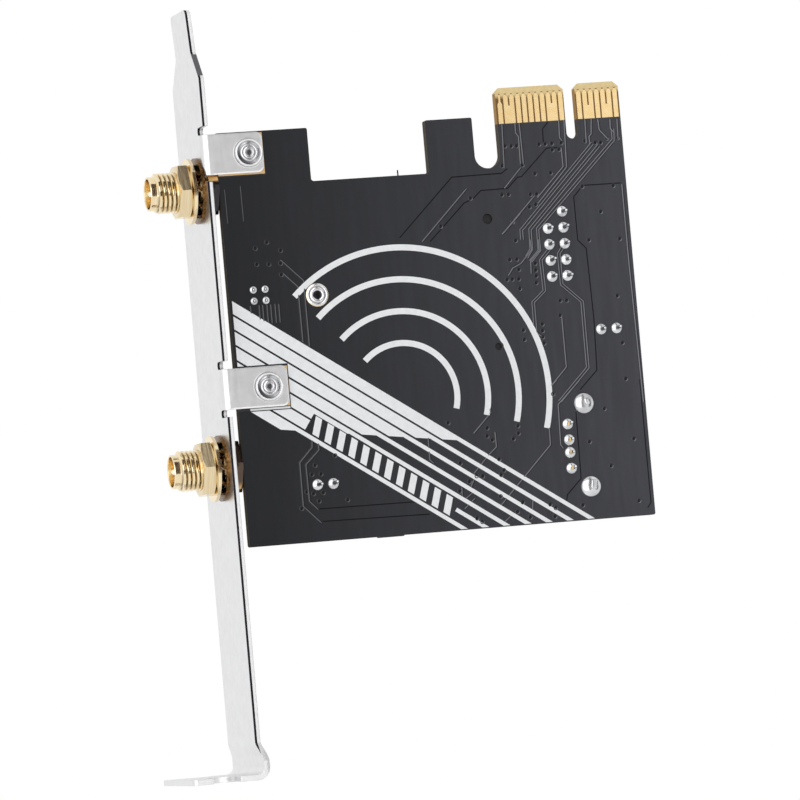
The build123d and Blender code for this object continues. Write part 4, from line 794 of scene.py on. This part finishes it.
# Component side: tracks, holes, printed outlines and tinned pads, laid out to suit the pieces there
component_tracks = (
    ((11.6, 6.2), (11.6, 19.6), (11.0, 20.2), (11.0, 22.6)),
    ((10.9, 6.2), (10.9, 18.9), (10.3, 19.5), (10.3, 22.6)),
    ((7.6, 6.2), (7.6, 9.0), (5.4, 11.2), (5.4, 18.4)),
    ((6.6, 6.2), (6.6, 8.6), (4.4, 10.8), (4.4, 16.2), (2.9, 17.7), (2.9, 18.4)),
    ((2.6, 6.2), (2.6, 12.6), (0.4, 14.8), (0.4, 33.0), (2.0, 34.6), (2.0, 48.2)),
    ((-2.5, 6.2), (-2.5, 22.4), (-1.2, 23.7), (-1.2, 25.6)),
    ((-3.5, 6.2), (-3.5, 24.6), (-3.2, 24.9), (-3.2, 25.6)),
    ((-5.5, 6.2), (-5.5, 24.6), (-5.2, 24.9), (-5.2, 25.6)),
    ((-6.5, 6.2), (-6.5, 49.4)),
    ((-1.2, 28.5), (-1.2, 35.4), (-1.9, 36.1), (-1.9, 37.4)),
    ((-5.2, 28.5), (-5.2, 35.2), (-4.4, 36.0), (-4.4, 37.4)),
    ((-3.2, 28.5), (-3.2, 41.8), (-1.0, 44.0), (-1.0, 49.4)),
    ((6.8, 54.2), (8.3, 54.2), (8.9, 53.6), (8.9, 50.6)),
    ((6.8, 58.8), (9.6, 58.8), (11.0, 57.4), (11.0, 50.4)),
    ((11.9, 53.9), (11.9, 57.0), (14.6, 59.7), (18.8, 59.7)),
    ((13.9, 53.9), (13.9, 56.6), (15.6, 58.3), (18.8, 58.3)),
    ((15.9, 53.9), (15.9, 55.2), (17.7, 57.0), (18.8, 57.0)),
    ((50.6, 29.1), (48.6, 29.1), (47.8, 28.3), (47.8, 25.4)),
    ((50.6, 30.9), (48.4, 30.9), (47.8, 31.5), (47.8, 35.6)),
    ((52.0, 32.3), (52.0, 38.8), (49.4, 41.4), (44.6, 41.4), (39.8, 46.2), (39.8, 53.6)),
    ((54.0, 32.3), (54.0, 39.4), (50.9, 42.5), (45.2, 42.5), (41.2, 46.5), (41.2, 58.0)),
    ((20.6, 45.9), (20.6, 51.2)),
    ((23.6, 45.9), (23.6, 51.2)),
    ((19.2, 16.4), (17.2, 14.4), (13.6, 14.4)),
    ((28.2, 17.4), (33.4, 17.4), (35.0, 15.8), (41.4, 15.8), (43.0, 17.4), (43.0, 24.0)),
)
power_tracks = (
    ((28.2, 58.0), (31.0, 58.0)),
    ((38.0, 60.0), (41.0, 60.0)),
    ((24.0, 62.4), (24.0, 65.6)),
)
power_track_width = 1.10
component_gaps = (
    ((56.6, 19.4), (46.4, 19.4), (44.6, 21.2), (44.6, 40.2), (45.8, 41.4)),
    ((18.6, 48.2), (18.6, 65.8), (42.6, 65.8), (42.6, 48.2), (41.8, 47.4), (19.4, 47.4), (18.6, 48.2)),
    ((7.4, 11.0), (7.4, 42.8), (12.2, 47.6), (17.4, 47.6)),
    ((-7.2, 51.0), (-7.2, 66.6), (-6.2, 67.6), (16.6, 67.6)),
    ((45.6, 47.0), (45.6, 55.4), (47.2, 57.0), (56.6, 57.0)),
    ((28.6, 12.0), (28.6, 15.4), (30.4, 17.2), (42.4, 17.2)),
)
far_tracks = [raised_line(route, track_width, trace_height, side=-1) for route in component_tracks]
far_tracks += [raised_line(route, power_track_width, trace_height, side=-1) for route in power_tracks]
mask_relief("tracks_on_component_side", far_tracks, track_painted_light_pattern, -1.0)
far_gaps = [raised_line(route, gap_width, side=-1, **gap_depth) for route in component_gaps]
mask_relief("gaps_on_component_side", far_gaps, gap_painted_shade_pattern, -1.0)
mask_relief("vias_on_component_side", [via(*place, -1.0) for place in via_places], via_painted_light_and_shade(), -1.0)


def frame_route(middle, half_x, half_z):
    """The outline of a rectangle around a middle, as a closed route."""
    x, z = middle
    return ((x - half_x, z - half_z), (x + half_x, z - half_z), (x + half_x, z + half_z),
            (x - half_x, z + half_z), (x - half_x, z - half_z))


# Capacitors, then resistors, as (x, z, whether the long way runs along Z)
small_chips = (
    (9.6, 17.0, True), (7.9, 17.0, True), (12.9, 16.6, False), (20.6, 17.4, False), (23.6, 17.4, False),
    (26.6, 17.4, False), (20.6, 44.6, False), (23.6, 44.6, False), (47.8, 24.0, True), (47.8, 37.0, True),
    (9.9, 47.4, False), (9.9, 49.6, False), (-1.2, 27.0, True), (-3.2, 27.0, True), (-5.2, 27.0, True),
    (9.0, 25.0, False), (9.0, 27.2, False), (9.0, 33.6, False), (9.0, 36.0, False), (11.9, 52.4, True),
    (13.9, 52.4, True), (15.9, 52.4, True),
)
chip_outline = (1.45, 0.72)            # half the long way and half the short way
chip_pad_offset = 0.88
chip_pad = (0.42, 0.50, 0.14)          # half the way along the chip, half the way across it, and its rise
print_line_width = 0.15
# Printed outlines of the larger parts, as (middle, half the width, half the height)
printed_boxes = ((nine_pin_header, 3.0, 6.9), (tail_header, 3.0, 1.75), (side_header, 3.0, 1.75),
                 (service_header, 2.3, 2.15), (choke, 3.2, 3.2), (regulator, 4.0, 2.25),
                 (plug_socket, 7.3, 7.2))
outlines = [frame_route(*box) for box in printed_boxes]
outlines += [frame_route((x, z), *(chip_outline[::-1] if along_z else chip_outline))
             for x, z, along_z in small_chips]
print_lines = [raised_line(route[n:n + 2], print_line_width, 0.010, side=-1, base=0.006)
               for route in outlines for n in range(4)]
build("component_outlines", face_the_viewer(joined(print_lines), -1), finishes["print_white"],
      closed=False)


def tinned_pad(x, z, half_x, half_z, rise):
    """A pillow of solder on a pad: a rounded rectangle swung about Y, highest in the middle."""
    def outline(place, radius, angle):
        return radius / (np.abs(np.cos(angle) / half_x) ** 6 + np.abs(np.sin(angle) / half_z) ** 6) ** (1 / 6)
    face = component_face
    return turned([(face - 0.01, 0), (face - 0.01, 1.0), (face + rise * 0.45, 0.97),
                   (face + rise * 0.85, 0.80), (face + rise, 0.4), (face + rise, 0)], (x, z), sides=24,
                  reach=outline)


pads = []
for x, z, along_z in small_chips:
    long_way, short_way, rise = chip_pad
    for offset in (-chip_pad_offset, chip_pad_offset):
        if along_z:
            pads.append(tinned_pad(x, z + offset, short_way, long_way, rise))
        else:
            pads.append(tinned_pad(x + offset, z, long_way, short_way, rise))
# The regulator's and the choke's pads: their rise, their places from the part's middle and their half sizes
large_pad_rise = 0.10
lead_pitch, lead_row, heat_tab_row, choke_foot = 2.30, -3.25, 3.25, 1.75
lead_pad, heat_pad, choke_pad = (0.55, 1.05), (1.75, 1.05), (1.0, 2.4)
pads += [tinned_pad(regulator[0] + n * lead_pitch, regulator[1] + lead_row, *lead_pad, large_pad_rise)
         for n in (-1, 0, 1)]
pads += [tinned_pad(regulator[0], regulator[1] + heat_tab_row, *heat_pad, large_pad_rise)]
pads += [tinned_pad(choke[0] + side * choke_foot, choke[1], *choke_pad, large_pad_rise) for side in (-1, 1)]
build("tinned_pads", joined(pads), finishes["solder"], sharp=60)


# Solder

def solder_dome(x, z, radius, tip, pin, lean=(0.0, 0.0)):
    """A joint as it flowed, turned about Y: a low round cap that climbs a little way up the pin's end.

    The further from the board a ring of it lies, the more it leans that way.
    """
    foot = solder_face
    high = radius * 0.50
    profile = [(foot + 0.02, 0), (foot + 0.02, radius)]
    profile += [(foot - high * math.sin(t), radius * math.cos(t) ** 0.8) for t in np.linspace(0.04, 1.02, 10)]
    profile += [(foot - high * 0.96, pin * 1.50), (foot - high * 1.10, pin * 1.25),
                (foot - high * 1.35, pin * 1.10)]
    profile += [(foot - tip * 0.75, pin), (foot - tip * 0.90, pin * 0.88), (foot - tip * 0.97, pin * 0.60),
                (foot - tip, 0)]
    points, faces = turned(profile, (x, z), sides=28)
    away = np.clip((foot - points[:, 1]) / tip, 0, 1) ** 1.5
    points[:, 0] += lean[0] * away
    points[:, 2] += lean[1] * away
    return points, faces


def shell_peg_joint(x, z, turn, reach_x, reach_z):
    """A low round cap of solder turned about Y, and on it the end of the shell's peg, a rounded rectangle."""
    foot, top = solder_face, solder_face - peg_cap_height
    cap = [(foot + 0.02, 0), (foot + 0.02, peg_cap_radius)]
    cap += [(foot - peg_cap_height * math.sin(t), peg_cap_radius * math.cos(t) ** 0.8)
            for t in np.linspace(0.03, 1.45, 14)]
    cap += [(top, 0)]

    def outline(place, radius, angle):
        way = angle - turn
        return radius / (np.abs(np.cos(way) / reach_x) ** 5 + np.abs(np.sin(way) / reach_z) ** 5) ** 0.2
    end = [(foot - 0.2, 0), (foot - 0.2, 1.0), (top, 1.0), (top - 0.10, 0.94), (top - 0.13, 0.80),
           (top - 0.14, 0.4), (top - 0.145, 0)]
    return joined([turned(cap, (x, z), sides=48), turned(end, (x - 0.38, z - 0.30), sides=40, reach=outline)])


half_pitch = header_pitch / 2
nine_pins = [(nine_pin_header[0] + side * half_pitch, nine_pin_header[1] + n * header_pitch)
             for n in range(-2, 3) for side in (-1, 1) if (side, n) != (1, -2)]
two_pins = [(x + side * half_pitch, z) for x, z in (tail_header, side_header) for side in (-1, 1)]
service_pins = [(service_header[0] + x, service_header[1] + z) for x in (-0.95, 0.95) for z in (-0.87, 0.87)]
plug_pins = [(plug_contact_x, z) for z in plug_contact_heights]
dome_radius, dome_tip, dome_pin, dome_lean = 0.92, 1.85, 0.25, (-0.30, -0.16)
wander = 0.10                          # no two joints are quite alike
domes = [solder_dome(x, z, dome_radius, dome_tip + wander * math.sin(2.3 * n), dome_pin,
                     (wander * math.sin(5.1 * n) + dome_lean[0], wander * math.cos(3.7 * n) + dome_lean[1]))
         for n, (x, z) in enumerate(nine_pins + two_pins + plug_pins)]
low_joint = dict(radius=0.62, tip=0.75, pin=0.20, lean=(0.05, 0.0))
domes += [solder_dome(x, z, **low_joint) for x, z in service_pins]
peg_ends = ((0.3, 0.42, 0.55), (-0.2, 0.52, 0.75))      # each one's turn, and its reach along X and Z
domes += [shell_peg_joint(*place, *end) for place, end in zip(shell_pegs, peg_ends)]
build("solder_joints_as_flowed", joined(domes), finishes["solder"], stands_for=("solder_joints",),
      sharp=60)


# Header pins

def square_pin(x, z, size, above):
    """A drawn pin: a square swung about Y, pointed above its base and ending inside its solder joint."""
    half = size / 2
    top = component_face + above

    def square(place, radius, angle):
        return radius / np.maximum(np.abs(np.cos(angle)), np.abs(np.sin(angle)))
    return turned([(solder_face - 0.25, 0), (solder_face - 0.25, half), (top - size * 0.45, half),
                   (top, half * 0.45), (top, 0)], (x, z), sides=8, reach=square)


# Each header's node, its places, the width of its pins and their height above the board
headers = (("nine_pin_header_pins", nine_pins, 0.64, 8.30), ("two_pin_header_pins", two_pins, 0.64, 8.30),
           ("service_header_pins", service_pins, 0.50, 4.20))
for node, places, size, above in headers:
    build(f"{node}_drawn", joined([square_pin(x, z, size, above) for x, z in places]), finishes["pin_gold"],
          stands_for=(node,), sharp=30)


# Screws, standoff

def ringed(profile, sides):
    """The depth attribute of a shape turned from pole to pole: one value for each ring, then two poles."""
    depths = np.array([depth for place, radius, depth in profile], float)
    return np.concatenate([np.repeat(depths[1:-1], sides), [depths[0], depths[-1]]])


# The thread's end as (place along Y from the screw's flat end, radius, depth of the painted shade)
end_rings = ((0.9, 0, 1), (0.9, 1.38, 1), (0.3, 1.88, 1), (0.055, 1.88, 1), (0.05, 1.46, 1),
             (-0.02, 1.38, 0.5), (-0.09, 1.26, 0.1), (-0.10, 1.16, 0.1), (-0.05, 1.05, 0.45),
             (-0.04, 0.98, 0.5), (-0.08, 0.88, 0.2), (-0.11, 0.76, 0.1), (-0.10, 0.62, 0.2),
             (-0.07, 0.50, 0.5), (-0.04, 0.34, 0.85), (-0.03, 0.14, 0.9), (-0.05, 0, 0.5))
end_sides = 48
recess_rings = slice(1 * end_sides, 4 * end_sides)


def screw_end(x, z):
    """The end of a cut thread, turned about Y: a bevelled disc, two turned rings and a centre mark.

    The rings stand in front of the screw's flat end.
    """
    rings = [(screw_tip + place, radius) for place, radius, depth in end_rings]
    return turned(rings, (x, z), sides=end_sides)


end_depths = ringed(end_rings, end_sides)
away_from_light = np.cos(np.linspace(0, 2 * math.pi, end_sides, endpoint=False) - math.radians(25))
painted_shade_side = 0.25 + 0.75 * np.clip(away_from_light, 0, 1) ** 0.7
end_depths[recess_rings] = np.tile(painted_shade_side, 3)      # painted shade lies on the side of the recess away from the light
build("screw_ends", joined([screw_end(x, z) for x, z in tab_screws]), thread_end_zinc, sharp=60,
      shade=np.tile(end_depths, len(tab_screws)))


def rolled_rim(x, z):
    """The polished lip that a punch raised round a hole, turned about Y: a fillet, a round crest, a bore."""
    profile = [(tab_face + 0.05, 2.34), (tab_face - 0.015, 2.32), (tab_face - 0.06, 2.25),
               (tab_face - 0.20, 2.19), (burr_crown + 0.06, 2.175), (burr_crown - 0.10, 2.15),
               (burr_crown - 0.17, 2.09), (burr_crown - 0.19, 2.01), (burr_crown - 0.16, 1.93),
               (burr_crown - 0.08, 1.87), (burr_crown + 0.02, 1.85), (burr_crown + 0.30, 1.90)]
    return turned(profile, (x, z), sides=72)


build("rolled_rims", joined([rolled_rim(x, z) for x, z in tab_screws]), finishes["plated_steel"],
      sharp=60)


# The standoff's end as (place along Y from its flat end, radius, depth of the painted shade)
rivet_rings = ((0.14, 0, 1), (0.14, 1.2, 1), (0.1, 1.66, 0), (-0.02, 1.68, 0), (-0.07, 1.60, 0),
               (-0.08, 1.44, 0), (-0.02, 1.34, 0.5), (-0.01, 1.24, 0.5), (-0.07, 1.14, 0), (-0.09, 1.00, 0),
               (-0.09, 0.86, 0), (-0.05, 0.74, 0.2), (-0.015, 0.66, 1), (-0.012, 0.3, 1), (-0.010, 0, 1))
rivet_sides = 64


def rivet_end(x, z):
    """The standoff's flared end, turned about Y: an outer rim, a groove, an inner lip and a flat bore painted
    dark as painted shade.
    """
    rings = [(standoff_end + place, radius) for place, radius, depth in rivet_rings]
    return turned(rings, (x, z), sides=rivet_sides)


build("standoff_rivet_end", rivet_end(*standoff_place), thread_end_zinc, sharp=60,
      shade=ringed(rivet_rings, rivet_sides))
rim_profile = [(solder_face + 0.01, 1.60), (solder_face + 0.01, 1.84), (solder_face - 0.05, 1.82),
               (solder_face - 0.09, 1.76), (solder_face - 0.09, 1.66)]
build("standoff_pad_rim", turned(rim_profile, standoff_place, sides=rivet_sides), finishes["gold_plate"],
      sharp=60)


# Antenna jacks

flange_back = bracket_inner - flange_thickness
thread_start = nut_front - 0.2
thread_end = jack_tip - lead_length
jack_sides = 96


def hexagon(place, radius, angle):
    """The lesser of a radius and that of a hexagon at the angle, which has corners towards +Y and -Y."""
    return np.minimum(radius, hexagon_width / 2 / np.cos(angle % (math.pi / 3) - math.pi / 6))


def jack_surface(place, radius, angle):
    """Hexagon on the flange, helix on the thread: the radius falls by the share of a turn from the crest."""
    phase = (place / thread_pitch - angle / (2 * math.pi)) % 1.0
    wave = np.clip(2.1 * (1 - np.abs(2 * phase - 1)) - 0.12, 0, 1) ** 0.8
    fade = np.clip((place - thread_start) / 0.15, 0, 1) * np.clip((thread_end - place) / 0.25, 0, 1)
    cut = np.where((place > thread_start) & (radius > 2.4), thread_depth * (1 - wave) * fade, 0)
    on_flange = place < bracket_inner + 0.001
    return np.where(on_flange, hexagon(place, radius, angle), radius - cut)


def jack_body(z):
    """A turned jack: rear sleeve, hexagon flange, threaded barrel with a plain lead, and its stepped bore;
    and how deep each of its points lies in the thread."""
    profile = [(jack_back, 1.0), (jack_back, sleeve_radius - 0.08), (jack_back + 0.08, sleeve_radius),
               (flange_back, sleeve_radius), (flange_back, hexagon_cone - 0.08),
               (flange_back + 0.06, hexagon_cone), (bracket_inner - 0.06, hexagon_cone),
               (bracket_inner, hexagon_cone - 0.08), (bracket_inner, 2.9), (thread_start, 2.9),
               (nut_front - 0.15, thread_crest)]
    profile += [(x, thread_crest) for x in np.linspace(nut_front - 0.1, thread_end - 0.25, 46)]
    profile += [(thread_end - 0.02, 2.78), (thread_end, lead_radius), (thread_end + 0.03, lead_radius),
                (jack_tip - 0.15, lead_radius), (jack_tip - 0.12, lead_radius), (jack_tip - 0.03, 2.64),
                (jack_tip, 2.56), (jack_tip, 2.44), (jack_tip - 0.06, mouth_radius + 0.01),
                (jack_tip - 0.12, mouth_radius), (jack_tip - 3.6, mouth_radius), (jack_tip - 3.6, 1.5),
                (flange_back, 1.5), (flange_back, 1.0)]
    points, faces = turned(profile, (jack_axis, z), along="x", sides=jack_sides, reach=jack_surface)
    out = np.hypot(points[:, 1] - jack_axis, points[:, 2] - z)
    on_thread = (points[:, 0] > thread_start) & (points[:, 0] < thread_end - 0.2) & (out > 2.45)
    return points, faces, np.where(on_thread, np.clip((thread_crest - 0.12 - out) / 0.2, 0, 1), 0)


nut_turns = [math.radians(degrees) for degrees in (1.0, -2.6)]   # as a spanner left them


def nut(z, turn):
    """A hexagon nut: a hexagon cut by a cone at each face, with a countersunk bore, turned about its axis."""
    cone = np.linspace(4.0, hexagon_cone, 9)
    profile = [(nut_back, 2.95)] + [(nut_back + (out - 4.0) * 0.5, out) for out in cone]
    profile += [(nut_front - (out - 4.0) * 0.5, out) for out in cone[::-1]]
    profile += [(nut_front, 3.35), (nut_front - 0.25, 3.0), (nut_back + 0.2, 2.95)]
    points, faces = turned(profile, (0.0, 0.0), along="x", sides=jack_sides, reach=hexagon)
    a, b, c = points.T
    across, up = b * math.cos(turn) + c * math.sin(turn), c * math.cos(turn) - b * math.sin(turn)
    return np.stack([a, jack_axis + across, z + up], -1), faces


def centre_pin(z, back):
    """A jack's pin turned about X, with a pointed tip level with the mouth."""
    profile = [(back, 0), (back, 0.50), (jack_tip - 0.70, 0.50), (jack_tip - 0.40, 0.42),
               (jack_tip - 0.15, 0.22), (jack_tip - 0.03, 0)]
    return turned(profile, (jack_axis, z), along="x", sides=24)


for number, height in enumerate(jack_heights, start=1):
    points, faces, groove = jack_body(height)
    build(f"threaded_jack_{number}", (points, faces), finishes["jack_gold"],
          stands_for=(f"antenna_jack_body_{number}",), sharp=32, shade=groove)
    build(f"jack_nut_{number}", nut(height, nut_turns[number - 1]), nut_gold,
          stands_for=(f"antenna_jack_nut_{number}",), sharp=28)
    pin_back = corner(f"antenna_jack_pin_{number}", False)[0]
    build(f"jack_centre_pin_{number}", centre_pin(height, pin_back), pin_painted_highlight_gold,
          stands_for=(f"antenna_jack_pin_{number}",), sharp=60)


# Camera, light and floor

def photo_camera():
    """The photograph's camera: three small turns from square on, 0.9 m from the middle of the card."""
    turn_x, turn_y, turn_z = 0.0438950, -0.2616274, 0.0750480
    shift_x, shift_y, distance = 0.021741, 17.8704, 900.0
    middle = np.array([30.0, 0.0, 30.0])
    pixels_per_mm, image = 6.390815, 800
    square_on = np.array([[-1, 0, 0], [0, 0, -1], [0, 1, 0]], float)
    cx, sx, cy, sy, cz, sz = (f(t) for t in (turn_x, turn_y, turn_z) for f in (math.cos, math.sin))
    about_x = np.array([[1, 0, 0], [0, cx, -sx], [0, sx, cx]])
    about_y = np.array([[cy, 0, sy], [0, 1, 0], [-sy, 0, cy]])
    about_z = np.array([[cz, -sz, 0], [sz, cz, 0], [0, 0, 1]])
    view = about_z @ about_y @ about_x @ square_on
    eye = view.T @ np.array([-shift_x, -shift_y, -distance]) + middle
    data = bpy.data.cameras.new("camera")
    data.sensor_fit = "HORIZONTAL"
    data.sensor_width = 36.0
    data.lens = pixels_per_mm * distance * data.sensor_width / image
    data.clip_start = 0.01
    camera = bpy.data.objects.new("camera", data)
    place = Matrix.Identity(4)
    for row in range(3):
        place[row][0], place[row][1], place[row][2] = view[0][row], view[1][row], -view[2][row]
        place[row][3] = eye[row] * MM
    camera.matrix_world = place
    bpy.context.scene.collection.objects.link(camera)
    bpy.context.scene.camera = camera


def lamp(name, place, target, size, power):
    """A square soft box that shines on a target."""
    data = bpy.data.lights.new(name, "AREA")
    data.size = size
    data.energy = power
    box = bpy.data.objects.new(name, data)
    box.location = place
    box.rotation_euler = (Vector(target) - Vector(place)).to_track_quat("-Z", "Y").to_euler()
    bpy.context.scene.collection.objects.link(box)


def card(name, top, bottom, target, width, tint):
    """A studio card seen only in reflections: a strip from top to bottom, turned to face the target."""
    mesh = bpy.data.meshes.new(name)
    top, bottom = Vector(top), Vector(bottom)
    side = (bottom - top).cross(Vector(target) - (top + bottom) / 2).normalized() * width / 2
    corners = [tuple(c) for c in (top - side, top + side, bottom + side, bottom - side)]
    mesh.from_pydata(corners, [], [(0, 1, 2, 3)])
    made = bpy.data.materials.new(name)
    made.use_nodes = True
    tree = made.node_tree
    tree.nodes.clear()
    glow = add(tree, "Emission", {"Color": colour(tint), "Strength": 1.0})
    add(tree, "OutputMaterial", {"Surface": glow})
    mesh.materials.append(made)
    board = bpy.data.objects.new(name, mesh)
    board.visible_camera = False
    board.visible_diffuse = False
    board.visible_shadow = False
    board.visible_transmission = False
    bpy.context.scene.collection.objects.link(board)


def floor():
    """A pale floor under the card that fades to the white background with distance."""
    mesh = bpy.data.meshes.new("floor")
    reach, level = 6.0, -0.60
    corners = [(x * reach, z * reach, level) for x, z in ((-1, -1), (1, -1), (1, 1), (-1, 1))]
    mesh.from_pydata(corners, [], [(0, 1, 2, 3)])
    made = bpy.data.materials.new("pale_studio_floor")
    made.use_nodes = True
    tree = made.node_tree
    tree.nodes.clear()
    place = add(tree, "TexCoord").outputs["Object"]
    flat = add(tree, "Mapping", {"Vector": place, "Scale": (1, 1, 0)})
    away = add(tree, "VectorMath", {0: flat}, operation="LENGTH")
    faded = add(tree, "MapRange", {"Value": away, "From Min": 0.25, "From Max": 0.6})
    path = add(tree, "LightPath")
    seen = add(tree, "Math", {0: path.outputs["Is Camera Ray"], 1: path.outputs["Is Glossy Ray"]},
               operation="MAXIMUM")
    share = add(tree, "Math", {0: seen, 1: faded}, operation="MULTIPLY")
    paint = add(tree, "BsdfDiffuse", {"Color": colour("#f2f2f2")})
    glow = add(tree, "Emission", {"Color": (1, 1, 1, 1), "Strength": 1.0})
    both = add(tree, "MixShader", {0: share, 1: paint, 2: glow})
    add(tree, "OutputMaterial", {"Surface": both})
    mesh.materials.append(made)
    ground = bpy.data.objects.new("floor", mesh)
    ground.visible_glossy = False
    bpy.context.scene.collection.objects.link(ground)


def surroundings():
    """White where the camera, mirrors and glass look past the card; a softer grey-white as light."""
    world = bpy.data.worlds.new("studio")
    bpy.context.scene.world = world
    world.use_nodes = True
    tree = world.node_tree
    tree.nodes.clear()
    path = add(tree, "LightPath")
    seen = add(tree, "Math", {0: path.outputs["Is Camera Ray"], 1: path.outputs["Is Glossy Ray"]},
               operation="MAXIMUM")
    seen = add(tree, "Math", {0: seen, 1: path.outputs["Is Transmission Ray"]}, operation="MAXIMUM")
    light = add(tree, "Background", {"Color": (1, 1, 1, 1), "Strength": 0.58})
    white = add(tree, "Background", {"Color": (1, 1, 1, 1), "Strength": 1.0})
    both = add(tree, "MixShader", {0: seen, 1: light, 2: white})
    add(tree, "OutputWorld", {"Surface": both})


photo_camera()
surroundings()
floor()
middle = (0.03, 0.0, 0.035)
jacks_middle = (0.064, 0.0, 0.035)
lamp("key_soft_box", place=(0.40, -0.72, -0.12), target=middle, size=1.00, power=3.8)
card("dark_card_in_front", top=(-0.082, -0.85, 0.31), bottom=(-0.125, -0.36, -0.90), target=jacks_middle,
     width=0.13, tint="#38200f")
card("dark_card_at_tail", top=(-0.47, -0.52, 0.25), bottom=(-0.47, -0.52, -0.20), target=middle, width=0.22,
     tint="#1c1c1e")
